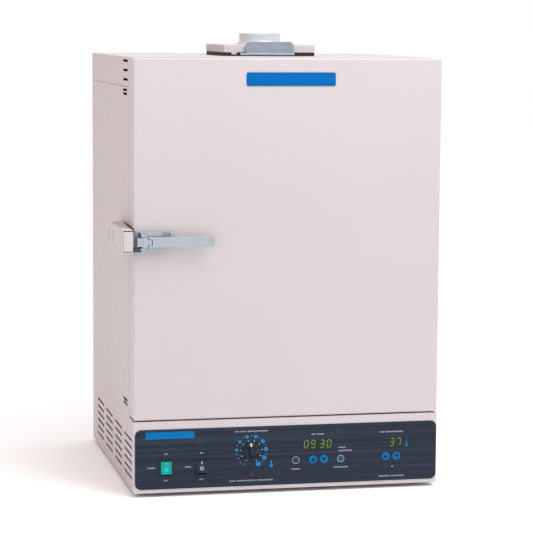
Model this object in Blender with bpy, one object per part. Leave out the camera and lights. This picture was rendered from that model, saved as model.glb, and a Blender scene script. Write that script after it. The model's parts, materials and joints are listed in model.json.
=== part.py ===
"""Bench-top gravity-convection incubator: cabinet, door, latch, vent, chamber and control base.

Metres, +Z up. The front faces -Y, and +X is the right-hand side as a user stands before it.
The origin is on the floor, under the middle of the cabinet's width and of its overall depth.
Heights in the dimensions below are above the cabinet's underside, and widths are from its left side.
"""

import math

import bmesh
import bpy
from mathutils import Matrix, Vector

# Cabinet
WIDTH = 0.600
DEPTH = 0.587
HEIGHT = 0.830
FOOT_HEIGHT = 0.008
BASE_HEIGHT = 0.1385
SHEET = 0.0015
CLEAR = 0.0003
SEAM_HEIGHT = 0.773
SEAM_GAP = 0.0005
FRONT_REACH = 0.0255
REAR_REACH = 0.003

# Door
DOOR_DEPTH = 0.0494
DOOR_GAP = 0.0025
GASKET_SPACE = 0.0036
DOOR_SHEET = 0.0012
DOOR_EDGE_RADIUS = 0.003

# Chamber
CHAMBER_WIDTH = 0.464
CHAMBER_DEPTH = 0.445
CHAMBER_HEIGHT = 0.545
CHAMBER_FLOOR = 0.210
CHAMBER_WALL = 0.0012
CHAMBER_CORNER = 0.012
INSULATION_INSET = 0.022
SHELF_HEIGHTS = {"shelf_lower": 0.165, "shelf_upper": 0.345}
RAIL_PITCH = 0.060
RAIL_COUNT = 8
ROD = 0.005

# Vent on the cabinet's top
VENT_X = 0.003
VENT_BACK = 0.295
DUCT_RADIUS = 0.030
STACK_RADIUS = 0.0415
STACK_TOP = 0.045
TRAY_WIDTH = 0.186
TRAY_DEPTH = 0.190
TRAY_LOW = 0.0074
TRAY_TOP = 0.0225
SLIDE_X = -0.0025
SLIDE_WIDTH = 0.110
SLIDE_LENGTH = 0.138
SLIDE_THICKNESS = 0.0015
HANDLE_X = 0.0020
HANDLE_WIDTH = 0.0965
HANDLE_TOP = 0.0285

# Control panel: centres as (from the left side, above the underside)
OVERLAY_LEFT_INSET = 0.0023
OVERLAY_RIGHT_INSET = 0.0011
OVERLAY_LOW = 0.0075
OVERLAY_TOP = 0.1233
OVERLAY_CORNER = 0.012
OVERLAY_THICKNESS = 0.0007
SWITCHES = {"power": (0.0625, 0.048), "timer": (0.1315, 0.048)}
KNOB_CENTRE = (0.2287, 0.0755)
KNOB_RADIUS = 0.017
KNOB_HEIGHT = 0.0125
SHAFT_RADIUS = 0.003
LAMPS = {"over_temp_lamp": (0.2288, 0.0298), "heating_lamp": (0.5098, 0.0354)}
LAMP_RADIUS = 0.004
BUTTONS = {
    "audible_button": (0.3167, 0.0545),
    "timer_up_button": (0.3510, 0.0545),
    "timer_down_button": (0.3730, 0.0545),
    "start_stop_button": (0.4061, 0.0545),
    "temperature_up_button": (0.4969, 0.0557),
    "temperature_down_button": (0.5186, 0.0557),
}
BUTTON_RADIUS = 0.00815
BUTTON_DEPTH = 0.0035
BUTTON_PROUD = 0.0012
DISPLAYS = {"timer_display": (0.3608, 0.0845, 0.076), "temperature_display": (0.5157, 0.0835, 0.046)}
DISPLAY_HEIGHT = 0.027

# Rocker switches
BEZEL = (0.0256, 0.0320)
BEZEL_THICKNESS = 0.0018
HOUSING = (0.0232, 0.0302)
HOUSING_DEPTH = 0.024
ROCKER = (0.0200, 0.0242)
ROCKER_TILT = math.radians(9)
ROCKER_PIVOT = 0.005
ROCKER_PROUD = 0.0008
ROCKER_BACK = 0.0045
TRUNNION_RADIUS = 0.0015

# Side slots: louvre field in the base, and short slots near the front edge
LOUVRE_COLUMNS = 4
LOUVRE_ROWS = 6
LOUVRE_LENGTH = 0.0945
LOUVRE_START = 0.026
LOUVRE_PITCH = 0.1305
LOUVRE_LOW = 0.0245
LOUVRE_ROW_PITCH = 0.0147
LOUVRE_HEIGHT = 0.0049
SLOT_HEIGHT = 0.0046
LOW_SLOT_HEIGHT = 0.0052
COVER_SLOTS_AT = (0.7864, 0.8043, 0.8222)
PANEL_SLOTS_AT = (0.7590, 0.7664)
LOW_SLOTS_AT = (0.1577, 0.1655)
COVER_SLOT = (0.072, 0.133)
PANEL_SLOT = (0.080, 0.135)

# Latch, on the door's left edge
LATCH_HEIGHT = 0.484
LATCH_HALF = 0.0195
LATCH_PIN = 0.018
LATCH_PIN_OUT = 0.012
LATCH_PIN_RADIUS = 0.0025
LEVER_HEIGHT = 0.020
LEVER_START = 0.0266
LEVER_END = 0.152
TAB_END = 0.0334
TAB_HEIGHT = 0.010
JOINT_GAP = 0.0013

# Strike housing, on the cabinet's left side
STRIKE_OUT = 0.0235
STRIKE_INNER = 0.003
STRIKE_FRONT = 0.016
STRIKE_REAR = 0.172
STRIKE_SHOULDER = 0.130
STRIKE_WALL = 0.0018
STRIKE_SLOTS = (0.110, 0.159)
STRIKE_SLOT = (0.006, 0.0235)

# Hinges, on the right side
HINGE_HEIGHTS = {"upper": 0.735, "lower": 0.235}
HINGE_OUT = 0.0068
HINGE_LENGTH = 0.070
HINGE_BARREL_RADIUS = 0.0050
HINGE_PIN_RADIUS = 0.002
LEAF_THICKNESS = 0.0018
LEAF_WIDTH = 0.034

# Derived places
LEFT = -WIDTH / 2
RIGHT = WIDTH / 2
FRONT = (FRONT_REACH - DEPTH - REAR_REACH) / 2
BACK = FRONT + DEPTH
BODY_FRONT = FRONT + DOOR_DEPTH + GASKET_SPACE
UNDERSIDE = FOOT_HEIGHT
TOP = UNDERSIDE + HEIGHT
BASE_TOP = UNDERSIDE + BASE_HEIGHT
SEAM = UNDERSIDE + SEAM_HEIGHT
DOOR_LOW = BASE_TOP + DOOR_GAP
DOOR_TOP = TOP - 0.001
OVERLAY_FACE = FRONT - CLEAR - OVERLAY_THICKNESS
DECK_LOW = BASE_TOP + 0.001
DECK_TOP = DECK_LOW + SHEET
CHAMBER_LOW = UNDERSIDE + CHAMBER_FLOOR
CHAMBER_TOP = CHAMBER_LOW + CHAMBER_HEIGHT
CHAMBER_BACK = BODY_FRONT + CHAMBER_DEPTH
VENT_Y = FRONT + VENT_BACK
LATCH_Z = UNDERSIDE + LATCH_HEIGHT
HINGE_X = RIGHT + HINGE_OUT
HINGE_Y = FRONT + DOOR_DEPTH + GASKET_SPACE / 2

# Finishes: linear colour, roughness, metallic
DOOR_PAINT = ((0.73, 0.67, 0.69), 0.42, 0.0)
BODY_PAINT = ((0.62, 0.53, 0.53), 0.45, 0.0)
STAINLESS = ((0.55, 0.56, 0.57), 0.30, 1.0)
DIE_CAST = ((0.48, 0.52, 0.58), 0.38, 0.6)
GREY_SHEET = ((0.44, 0.49, 0.54), 0.40, 0.5)
OVERLAY_FILM = ((0.035, 0.045, 0.068), 0.35, 0.0)
BLUE_FILM = ((0.004, 0.145, 0.52), 0.30, 0.0)
BLACK_PLASTIC = ((0.012, 0.015, 0.018), 0.40, 0.0)
GREEN_LENS = ((0.01, 0.42, 0.36), 0.25, 0.0)
RED_LENS = ((0.22, 0.02, 0.015), 0.25, 0.0)
LAMP_GREEN = ((0.03, 0.30, 0.12), 0.25, 0.0)
BLUE_CAP = ((0.01, 0.19, 0.58), 0.35, 0.0)
RUBBER = ((0.02, 0.022, 0.024), 0.80, 0.0)
SILICONE = ((0.30, 0.30, 0.31), 0.60, 0.0)
GLASS_WOOL = ((0.62, 0.52, 0.22), 0.95, 0.0)
CIRCUIT_GREEN = ((0.01, 0.11, 0.05), 0.50, 0.0)
ZINC = ((0.52, 0.53, 0.55), 0.35, 1.0)


def across(from_left):
    return LEFT + from_left


def above(height):
    return UNDERSIDE + height


def on_axis(axis, point, along):
    """A 2D point on the plane across an axis: (y, z) for X, (x, z) for Y and (x, y) for Z."""
    a, b = point
    return {"X": (along, a, b), "Y": (a, along, b), "Z": (a, b, along)}[axis]


def circle(centre, radius, steps):
    """Points round a circle, from half a step after its first axis."""
    turns = [2 * math.pi * (i + 0.5) / steps for i in range(steps)]
    return [(centre[0] + radius * math.cos(t), centre[1] + radius * math.sin(t)) for t in turns]


def rectangle(low, high):
    return [(low[0], low[1]), (high[0], low[1]), (high[0], high[1]), (low[0], high[1])]


def rounded(low, high, radius, steps=4):
    """A rectangle with quarter-circle corners."""
    points = []
    middles = (
        (high[0] - radius, high[1] - radius),
        (low[0] + radius, high[1] - radius),
        (low[0] + radius, low[1] + radius),
        (high[0] - radius, low[1] + radius),
    )
    for corner, (a, b) in enumerate(middles):
        for step in range(steps + 1):
            turn = math.pi / 2 * (corner + step / steps)
            points.append((a + radius * math.cos(turn), b + radius * math.sin(turn)))
    return points


def centred(centre, size):
    """The low and high corners of a rectangle about a centre."""
    half = (size[0] / 2, size[1] / 2)
    return (centre[0] - half[0], centre[1] - half[1]), (centre[0] + half[0], centre[1] + half[1])


def stack_rings(axis, outlines):
    """3D rings from (outline, place along the axis) pairs."""
    return [[on_axis(axis, point, along) for point in outline] for outline, along in outlines]


def box_rings(low, high):
    outline = rectangle(low[:2], high[:2])
    return stack_rings("Z", [(outline, low[2]), (outline, high[2])])


def cylinder_rings(axis, centre, radius, low, high, steps=24):
    outline = circle(centre, radius, steps)
    return stack_rings(axis, [(outline, low), (outline, high)])


def turned_rings(axis, centre, profile, steps=32):
    """Rings of a turned shape, from a profile of (radius, place along the axis)."""
    return stack_rings(axis, [(circle(centre, radius, steps), along) for radius, along in profile])


def add_loft(bm, rings, closed=False):
    """Bridges rings of equal length. An open row is capped, and a closed one joins end to start."""
    rows = [[bm.verts.new(point) for point in ring] for ring in rings]
    pairs = list(zip(rows, rows[1:]))
    if closed:
        pairs.append((rows[-1], rows[0]))
    else:
        bm.faces.new(rows[0])
        bm.faces.new(rows[-1])
    for one, two in pairs:
        for i in range(len(one)):
            j = (i + 1) % len(one)
            bm.faces.new((one[i], one[j], two[j], two[i]))


def make_finish(name, finish):
    colour, roughness, metallic = finish
    material = bpy.data.materials.new(name)
    material.use_nodes = True
    shader = material.node_tree.nodes["Principled BSDF"]
    shader.inputs["Base Color"].default_value = (*colour, 1)
    shader.inputs["Roughness"].default_value = roughness
    shader.inputs["Metallic"].default_value = metallic
    return material


def make_object(name, finish, bm, smooth=False):
    bmesh.ops.recalc_face_normals(bm, faces=bm.faces[:])
    mesh = bpy.data.meshes.new(name)
    bm.to_mesh(mesh)
    bm.free()
    if finish:
        mesh.materials.append(make_finish(name, finish))
    if smooth:
        mesh.shade_smooth()
        mesh.set_sharp_from_angle(angle=math.radians(35))
    item = bpy.data.objects.new(name, mesh)
    bpy.context.scene.collection.objects.link(item)
    return item


def loft(name, finish, rings, closed=False, smooth=False):
    bm = bmesh.new()
    add_loft(bm, rings, closed)
    return make_object(name, finish, bm, smooth)


def box(name, finish, low, high):
    return loft(name, finish, box_rings(low, high))


def prism(name, finish, axis, low, high, outline, holes=()):
    """A plate: a flat outline with holes, drawn out along an axis."""
    bm = bmesh.new()
    edges = []
    for loop in (outline, *holes):
        corners = [bm.verts.new(on_axis(axis, point, low)) for point in loop]
        edges += [bm.edges.new(pair) for pair in zip(corners, corners[1:] + corners[:1])]
    bmesh.ops.triangle_fill(bm, use_beauty=True, use_dissolve=False, edges=edges)
    drawn = bmesh.ops.extrude_face_region(bm, geom=bm.faces[:])
    moved = [part for part in drawn["geom"] if isinstance(part, bmesh.types.BMVert)]
    bmesh.ops.translate(bm, verts=moved, vec=on_axis(axis, (0, 0), high - low))
    return make_object(name, finish, bm)


def cup(name, finish, axis, shut, mouth, low, high, wall, radius, edge=0.0):
    """An open box: its floor is at shut, its rim at mouth, with corners and floor edge rounded."""
    way = math.copysign(1, mouth - shut)
    steps = 3 if edge else 0
    turns = [math.pi / 2 * step / steps for step in range(steps)]
    outlines = [(edge * (1 - math.sin(t)), shut + way * edge * (1 - math.cos(t))) for t in turns]
    outlines += [(0.0, shut + way * edge), (0.0, mouth), (wall, mouth), (wall, shut + way * wall)]
    rings = []
    for inset, along in outlines:
        near = (low[0] + inset, low[1] + inset)
        far = (high[0] - inset, high[1] - inset)
        rings.append((rounded(near, far, max(radius - inset, 0.0008)), along))
    return loft(name, finish, stack_rings(axis, rings))


def tool(name, solids):
    """A hidden shape made of closed solids, for cutting or joining."""
    bm = bmesh.new()
    for rings in solids:
        add_loft(bm, rings)
    item = make_object(name, None, bm)
    item.hide_render = True
    item.display_type = "WIRE"
    return item


def combine(item, operation, solids):
    """Cuts solids out of an object (DIFFERENCE) or joins them to it (UNION)."""
    other = tool(f"{item.name}_{operation.lower()}_{len(item.modifiers)}", solids)
    modifier = item.modifiers.new(operation.lower(), "BOOLEAN")
    modifier.operation = operation
    modifier.object = other
    modifier.use_self = operation == "UNION" and len(solids) > 1


def put_origin(item, point):
    """Moves an object's origin and keeps its shape in place."""
    item.data.transform(Matrix.Translation(-Vector(point)))
    item.location = point
    for modifier in item.modifiers:
        modifier.object.parent = item
        modifier.object.matrix_parent_inverse = Matrix.Translation(-Vector(point))


def make_axis(name, point, parent=None):
    """An empty on a joint's axis, which carries the pieces that turn about it."""
    empty = bpy.data.objects.new(name, None)
    bpy.context.scene.collection.objects.link(empty)
    empty.location = point
    if parent:
        hang(parent, empty)
    return empty


def hang(parent, *items):
    """Parents objects and keeps them where they are."""
    bpy.context.view_layer.update()
    for item in items:
        item.parent = parent
        item.matrix_parent_inverse = parent.matrix_world.inverted()
        for modifier in item.modifiers:
            modifier.object.parent = parent
            modifier.object.matrix_parent_inverse = parent.matrix_world.inverted()


def side_slots(places, start, end, height=SLOT_HEIGHT):
    """Slots in a side sheet, as (y, z) rectangles, from the places of their middles."""
    half = height / 2
    return [
        rectangle((FRONT + start, above(place) - half), (FRONT + end, above(place) + half))
        for place in places
    ]


def louvre_field():
    slots = []
    for column in range(LOUVRE_COLUMNS):
        start = LOUVRE_START + column * LOUVRE_PITCH
        places = [LOUVRE_LOW + row * LOUVRE_ROW_PITCH for row in range(LOUVRE_ROWS)]
        slots += side_slots(places, start, start + LOUVRE_LENGTH, LOUVRE_HEIGHT)
    return slots


def side_panels():
    low = UNDERSIDE + SHEET + CLEAR
    step = BASE_TOP - SHEET - CLEAR
    front = FRONT + SHEET + CLEAR
    outline = [
        (front, low),
        (BACK, low),
        (BACK, SEAM - SEAM_GAP),
        (BODY_FRONT, SEAM - SEAM_GAP),
        (BODY_FRONT, step),
        (front, step),
    ]
    holes = louvre_field() + side_slots(PANEL_SLOTS_AT, *PANEL_SLOT)
    holes += side_slots(LOW_SLOTS_AT, *PANEL_SLOT, LOW_SLOT_HEIGHT)
    prism("left_side_panel", BODY_PAINT, "X", LEFT, LEFT + SHEET, outline, holes)
    prism("right_side_panel", BODY_PAINT, "X", RIGHT - SHEET, RIGHT, outline, holes)


def top_cover():
    outline = [
        (LEFT, SEAM),
        (LEFT, TOP),
        (RIGHT, TOP),
        (RIGHT, SEAM),
        (RIGHT - SHEET, SEAM),
        (RIGHT - SHEET, TOP - SHEET),
        (LEFT + SHEET, TOP - SHEET),
        (LEFT + SHEET, SEAM),
    ]
    cover = prism("top_cover", BODY_PAINT, "Y", BODY_FRONT, BACK, outline)
    cuts = [cylinder_rings("Z", (VENT_X, VENT_Y), DUCT_RADIUS + 0.0025, TOP - 0.01, TOP + 0.01, 32)]
    for edge in (LEFT, RIGHT):
        for (y_low, z_low), _, (y_high, z_high), _ in side_slots(COVER_SLOTS_AT, *COVER_SLOT):
            cuts.append(box_rings((edge - 0.005, y_low, z_low), (edge + 0.005, y_high, z_high)))
    combine(cover, "DIFFERENCE", cuts)


def back_panel():
    inlet = rectangle(*centred((RIGHT - 0.080, above(0.060)), (0.0300, 0.0230)))
    holes = [inlet]
    for column in range(2):
        for row in range(LOUVRE_ROWS):
            centre = (-0.150 + column * 0.170, above(LOUVRE_LOW + row * LOUVRE_ROW_PITCH))
            holes.append(rectangle(*centred(centre, (LOUVRE_LENGTH, LOUVRE_HEIGHT))))
    edge = LEFT + SHEET + CLEAR
    outline = rectangle((edge, UNDERSIDE + SHEET + CLEAR), (-edge, TOP - SHEET - CLEAR))
    prism("back_panel", BODY_PAINT, "Y", BACK - SHEET, BACK, outline, holes)


def base_pan():
    low = UNDERSIDE
    inset = SHEET + CLEAR
    lip = 0.018
    outline = [
        (LEFT, low),
        (RIGHT, low),
        (RIGHT, low + SHEET),
        (RIGHT - inset, low + SHEET),
        (RIGHT - inset, low + lip),
        (RIGHT - inset - SHEET, low + lip),
        (RIGHT - inset - SHEET, low + SHEET),
        (LEFT + inset + SHEET, low + SHEET),
        (LEFT + inset + SHEET, low + lip),
        (LEFT + inset, low + lip),
        (LEFT + inset, low + SHEET),
        (LEFT, low + SHEET),
    ]
    prism("base_pan", BODY_PAINT, "Y", FRONT + 0.0153, BACK - SHEET - CLEAR, outline)


def feet():
    low_radius, high_radius = 0.013, 0.016
    for row, y in (("front", FRONT + 0.075), ("rear", BACK - 0.075)):
        for side, x in (("left", LEFT + 0.060), ("right", RIGHT - 0.060)):
            profile = [
                (low_radius - 0.001, 0.0),
                (low_radius, 0.001),
                (high_radius, FOOT_HEIGHT - 0.0013),
                (high_radius, FOOT_HEIGHT - CLEAR),
            ]
            name = f"foot_{row}_{side}"
            loft(name, RUBBER, turned_rings("Z", (x, y), profile, 24), smooth=True)


def panel_holes(extra):
    """What passes through the control panel, each hole larger than its piece by extra."""
    rectangles = [
        rectangle(*centred((across(x), above(z)), (HOUSING[0] + extra, HOUSING[1] + extra)))
        for x, z in SWITCHES.values()
    ]
    circles = [circle((across(KNOB_CENTRE[0]), above(KNOB_CENTRE[1])), SHAFT_RADIUS + extra, 16)]
    for x, z in LAMPS.values():
        circles.append(circle((across(x), above(z)), LAMP_RADIUS + extra, 12))
    for x, z in BUTTONS.values():
        circles.append(circle((across(x), above(z)), BUTTON_RADIUS + extra, 20))
    return rectangles + circles


def display_windows():
    return [
        rectangle(*centred((across(x), above(z)), (width - 0.002, DISPLAY_HEIGHT - 0.002)))
        for x, z, width in DISPLAYS.values()
    ]


def base_front_panel():
    rear = BODY_FRONT - CLEAR
    outline = [
        (FRONT, UNDERSIDE),
        (FRONT + 0.015, UNDERSIDE),
        (FRONT + 0.015, UNDERSIDE + SHEET),
        (FRONT + SHEET, UNDERSIDE + SHEET),
        (FRONT + SHEET, BASE_TOP - SHEET),
        (rear, BASE_TOP - SHEET),
        (rear, BASE_TOP),
        (FRONT, BASE_TOP),
    ]
    panel = prism("base_front_panel", BODY_PAINT, "X", LEFT, RIGHT, outline)
    cuts = [
        stack_rings("Y", [(hole, FRONT - 0.005), (hole, FRONT + 0.005)])
        for hole in panel_holes(0.0004) + display_windows()
    ]
    combine(panel, "DIFFERENCE", cuts)


def panel_overlay():
    outline = rounded(
        (LEFT + OVERLAY_LEFT_INSET, above(OVERLAY_LOW)),
        (RIGHT - OVERLAY_RIGHT_INSET, above(OVERLAY_TOP)),
        OVERLAY_CORNER,
        6,
    )
    holes = panel_holes(0.0004)
    prism("panel_overlay", OVERLAY_FILM, "Y", OVERLAY_FACE, FRONT - CLEAR, outline, holes)


def displays():
    for name, (x, z, width) in DISPLAYS.items():
        low, high = centred((across(x), above(z)), (width, DISPLAY_HEIGHT))
        near = FRONT + SHEET + CLEAR
        box(name, BLACK_PLASTIC, (low[0], near, low[1]), (high[0], near + 0.010, high[1]))


def lamps():
    for name, (x, z) in LAMPS.items():
        profile = [
            (LAMP_RADIUS * 0.55, OVERLAY_FACE - 0.0014),
            (LAMP_RADIUS * 0.9, OVERLAY_FACE - 0.0008),
            (LAMP_RADIUS, OVERLAY_FACE),
            (LAMP_RADIUS, FRONT + 0.008),
        ]
        lens = RED_LENS if name == "over_temp_lamp" else LAMP_GREEN
        loft(name, lens, turned_rings("Y", (across(x), above(z)), profile, 12), smooth=True)


def rocker_outline(y, z):
    """The side view of a rocker in its middle place, about its pivot at (y, z)."""
    half = ROCKER[1] / 2
    nose = ROCKER_PIVOT + ROCKER_PROUD
    tip = nose + half * math.tan(ROCKER_TILT)
    outline = [(-nose, 0), (-tip, half), (ROCKER_BACK, 0.009), (ROCKER_BACK, -0.009), (-tip, -half)]
    turned = []
    for a, b in outline:
        turned.append((
            y + a * math.cos(ROCKER_TILT) + b * math.sin(ROCKER_TILT),
            z + b * math.cos(ROCKER_TILT) - a * math.sin(ROCKER_TILT),
        ))
    return turned


def rocker_switch(kind, lens):
    """A switch body with a bezel and a rocker that rests with its upper half pressed in."""
    x, z = across(SWITCHES[kind][0]), above(SWITCHES[kind][1])
    face = OVERLAY_FACE - CLEAR - BEZEL_THICKNESS
    bezel = rounded(*centred((x, z), BEZEL), 0.002, 3)
    body = prism(f"{kind}_switch_body", BLACK_PLASTIC, "Y", face, OVERLAY_FACE - CLEAR, bezel)
    low, high = centred((x, z), HOUSING)
    inside = (low[0], OVERLAY_FACE - CLEAR - BEZEL_THICKNESS / 2, low[1])
    combine(body, "UNION", [box_rings(inside, (high[0], face + HOUSING_DEPTH, high[1]))])
    low, high = centred((x, z), (ROCKER[0] + 0.0006, 0.0282))
    recess = box_rings((low[0], face - 0.002, low[1]), (high[0], face + 0.0125, high[1]))
    combine(body, "DIFFERENCE", [recess])
    pivot = (face + ROCKER_PIVOT, z)
    reach = ROCKER[0] / 2 + 0.0012
    socket = cylinder_rings("X", pivot, TRUNNION_RADIUS + CLEAR, x - reach, x + reach, 12)
    combine(body, "DIFFERENCE", [socket])

    half = ROCKER[0] / 2
    rocker = prism(f"{kind}_rocker", lens, "X", x - half, x + half, rocker_outline(*pivot))
    end = half + 0.0009
    trunnions = cylinder_rings("X", pivot, TRUNNION_RADIUS, x - end, x + end, 12)
    combine(rocker, "UNION", [trunnions])
    put_origin(rocker, (x, *pivot))


def over_temp_control():
    x, z = across(KNOB_CENTRE[0]), above(KNOB_CENTRE[1])
    face = OVERLAY_FACE - 0.0006
    profile = [
        (SHAFT_RADIUS, FRONT + 0.014),
        (SHAFT_RADIUS, face),
        (KNOB_RADIUS - 0.0005, face),
        (KNOB_RADIUS, face - 0.0005),
        (KNOB_RADIUS, face - 0.0022),
        (KNOB_RADIUS - 0.0010, face - 0.0035),
        (KNOB_RADIUS - 0.0058, face - KNOB_HEIGHT + 0.0024),
        (KNOB_RADIUS - 0.0068, face - KNOB_HEIGHT + 0.0008),
        (KNOB_RADIUS - 0.0086, face - KNOB_HEIGHT),
    ]
    knob = loft("over_temp_knob", BLACK_PLASTIC, turned_rings("Y", (x, z), profile, 32), smooth=True)
    put_origin(knob, (x, face, z))
    near = FRONT + SHEET + CLEAR
    low, high = (x - 0.018, near, z - 0.016), (x + 0.018, near + 0.028, z + 0.016)
    body = box("over_temp_thermostat", ZINC, low, high)
    bore = cylinder_rings("Y", (x, z), SHAFT_RADIUS + 0.0004, near - 0.01, FRONT + 0.016, 16)
    combine(body, "DIFFERENCE", [bore])


def buttons():
    for name, (x, z) in BUTTONS.items():
        centre = (across(x), above(z))
        profile = [
            (BUTTON_RADIUS, FRONT + BUTTON_DEPTH),
            (BUTTON_RADIUS, OVERLAY_FACE - BUTTON_PROUD + 0.0005),
            (BUTTON_RADIUS - 0.0005, OVERLAY_FACE - BUTTON_PROUD),
        ]
        cap = BLUE_CAP if name.split("_")[1] in ("up", "down") else OVERLAY_FILM
        button = loft(name, cap, turned_rings("Y", centre, profile, 20), smooth=True)
        put_origin(button, (centre[0], OVERLAY_FACE, centre[1]))


def control_board():
    """A circuit board behind the displays, with a transformer, a relay and a terminal block."""
    y = FRONT + 0.030
    low, high = (across(0.300), y, above(0.025)), (across(0.560), y + 0.002, above(0.122))
    board = box("control_board", CIRCUIT_GREEN, low, high)
    near = y + 0.001
    transformer = box_rings((across(0.320), near, above(0.035)), (across(0.370), y + 0.040, above(0.085)))
    relay = box_rings((across(0.420), near, above(0.045)), (across(0.450), y + 0.022, above(0.067)))
    terminals = box_rings((across(0.480), near, above(0.035)), (across(0.545), y + 0.016, above(0.047)))
    combine(board, "UNION", [transformer, relay, terminals])


def power_inlet():
    """A three-pole appliance inlet, with its pins inside a socket that opens to the rear."""
    centre = (RIGHT - 0.080, above(0.060))
    flange = rounded(*centred(centre, (0.050, 0.026)), 0.003, 3)
    inlet = prism("power_inlet", BLACK_PLASTIC, "Y", BACK + CLEAR, BACK + REAR_REACH, flange)
    low, high = centred(centre, (0.0294, 0.0224))
    combine(inlet, "UNION", [box_rings((low[0], BACK - 0.024, low[1]), (high[0], BACK + 0.001, high[1]))])
    low, high = centred(centre, (0.0245, 0.0170))
    socket = box_rings((low[0], BACK - 0.018, low[1]), (high[0], BACK + 0.010, high[1]))
    combine(inlet, "DIFFERENCE", [socket])
    pins = []
    for across_pin, up in ((-0.007, -0.002), (0.0, 0.002), (0.007, -0.002)):
        low, high = centred((centre[0] + across_pin, centre[1] + up), (0.002, 0.004))
        pins.append(box_rings((low[0], BACK - 0.020, low[1]), (high[0], BACK - 0.004, high[1])))
    combine(inlet, "UNION", pins)


def front_frame():
    """The sealing face round the chamber's mouth."""
    edge = LEFT + SHEET + CLEAR
    outline = rectangle((edge, DECK_TOP + CLEAR), (-edge, TOP - SHEET - CLEAR))
    half = CHAMBER_WIDTH / 2 + CHAMBER_WALL + CLEAR
    mouth = rounded(
        (-half, CHAMBER_LOW - CHAMBER_WALL - CLEAR),
        (half, CHAMBER_TOP + CHAMBER_WALL + CLEAR),
        CHAMBER_CORNER + CLEAR,
    )
    prism("front_frame", STAINLESS, "Y", BODY_FRONT, BODY_FRONT + SHEET, outline, [mouth])


def chamber():
    half = CHAMBER_WIDTH / 2 + CHAMBER_WALL
    low = (-half, CHAMBER_LOW - CHAMBER_WALL)
    high = (half, CHAMBER_TOP + CHAMBER_WALL)
    liner = cup(
        "inner_chamber", STAINLESS, "Y", CHAMBER_BACK + CHAMBER_WALL, BODY_FRONT,
        low, high, CHAMBER_WALL, CHAMBER_CORNER,
    )
    outlet = cylinder_rings("Z", (VENT_X, VENT_Y), DUCT_RADIUS, CHAMBER_TOP - 0.01, CHAMBER_TOP + 0.01)
    combine(liner, "DIFFERENCE", [outlet])


def insulation():
    near = BODY_FRONT + SHEET + CLEAR
    far = BACK - SHEET - 0.001
    edge = LEFT + INSULATION_INSET
    low, high = (edge, near, DECK_TOP + 0.001), (-edge, far, TOP - SHEET - 0.001)
    block = box("insulation", GLASS_WOOL, low, high)
    gap = CHAMBER_WALL + 0.001
    half = CHAMBER_WIDTH / 2 + gap
    hollow = box_rings(
        (-half, near - 0.02, CHAMBER_LOW - gap),
        (half, CHAMBER_BACK + gap, CHAMBER_TOP + gap),
    )
    passage = cylinder_rings("Z", (VENT_X, VENT_Y), DUCT_RADIUS + 0.0022, CHAMBER_TOP - 0.02, TOP + 0.01)
    combine(block, "DIFFERENCE", [hollow])
    combine(block, "DIFFERENCE", [passage])


def chassis_deck():
    edge = LEFT + SHEET + CLEAR
    box("chassis_deck", ZINC, (edge, BODY_FRONT + CLEAR, DECK_LOW), (-edge, BACK - SHEET - CLEAR, DECK_TOP))


def floor_diffuser():
    """A raised chamber floor with slots, folded down at the front and the back."""
    top = CHAMBER_LOW + 0.036
    near, far = BODY_FRONT + 0.012, CHAMBER_BACK - 0.012
    outline = [
        (near, CHAMBER_LOW + CLEAR),
        (near + SHEET, CHAMBER_LOW + CLEAR),
        (near + SHEET, top - SHEET),
        (far - SHEET, top - SHEET),
        (far - SHEET, CHAMBER_LOW + CLEAR),
        (far, CHAMBER_LOW + CLEAR),
        (far, top),
        (near, top),
    ]
    half = CHAMBER_WIDTH / 2 - CHAMBER_CORNER
    plate = prism("floor_diffuser", STAINLESS, "X", -half, half, outline)
    cuts = []
    for column in range(5):
        for row in range(6):
            x = (column - 2) * 0.084
            y = (near + far) / 2 + (row - 2.5) * 0.062
            cuts.append(box_rings((x - 0.026, y - 0.003, top - 0.01), (x + 0.026, y + 0.003, top + 0.01)))
    combine(plate, "DIFFERENCE", cuts)


def heater_path():
    """The centre line of a tube laid in runs from side to side, joined by half-circle bends."""
    runs, pitch, reach = 5, 0.070, 0.170
    start = (BODY_FRONT + CHAMBER_BACK) / 2 - pitch * (runs - 1) / 2
    height = CHAMBER_LOW + 0.014
    points = []
    for run in range(runs):
        way = 1 if run % 2 == 0 else -1
        y = start + run * pitch
        points += [Vector((-way * reach, y, height)), Vector((way * reach, y, height))]
        if run < runs - 1:
            for step in range(1, 5):
                turn = math.pi * step / 5
                bend = pitch / 2
                points.append(Vector((
                    way * (reach + bend * math.sin(turn)),
                    y + bend * (1 - math.cos(turn)),
                    height,
                )))
    return points


def heater_element():
    radius, sides = 0.004, 8
    path = heater_path()
    rings = []
    for i, point in enumerate(path):
        ahead = path[min(i + 1, len(path) - 1)] - path[max(i - 1, 0)]
        side = ahead.normalized().cross(Vector((0, 0, 1)))
        ring = []
        for corner in range(sides):
            turn = 2 * math.pi * corner / sides
            ring.append(point + radius * (side * math.cos(turn) + Vector((0, 0, math.sin(turn)))))
        rings.append(ring)
    loft("heater_element", ZINC, rings, smooth=True)


def bar(start, end, size=ROD):
    """A square rod between two points that lie along one axis."""
    half = size / 2
    low = [min(a, b) - half for a, b in zip(start, end)]
    high = [max(a, b) + half for a, b in zip(start, end)]
    return box_rings(low, high)


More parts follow.
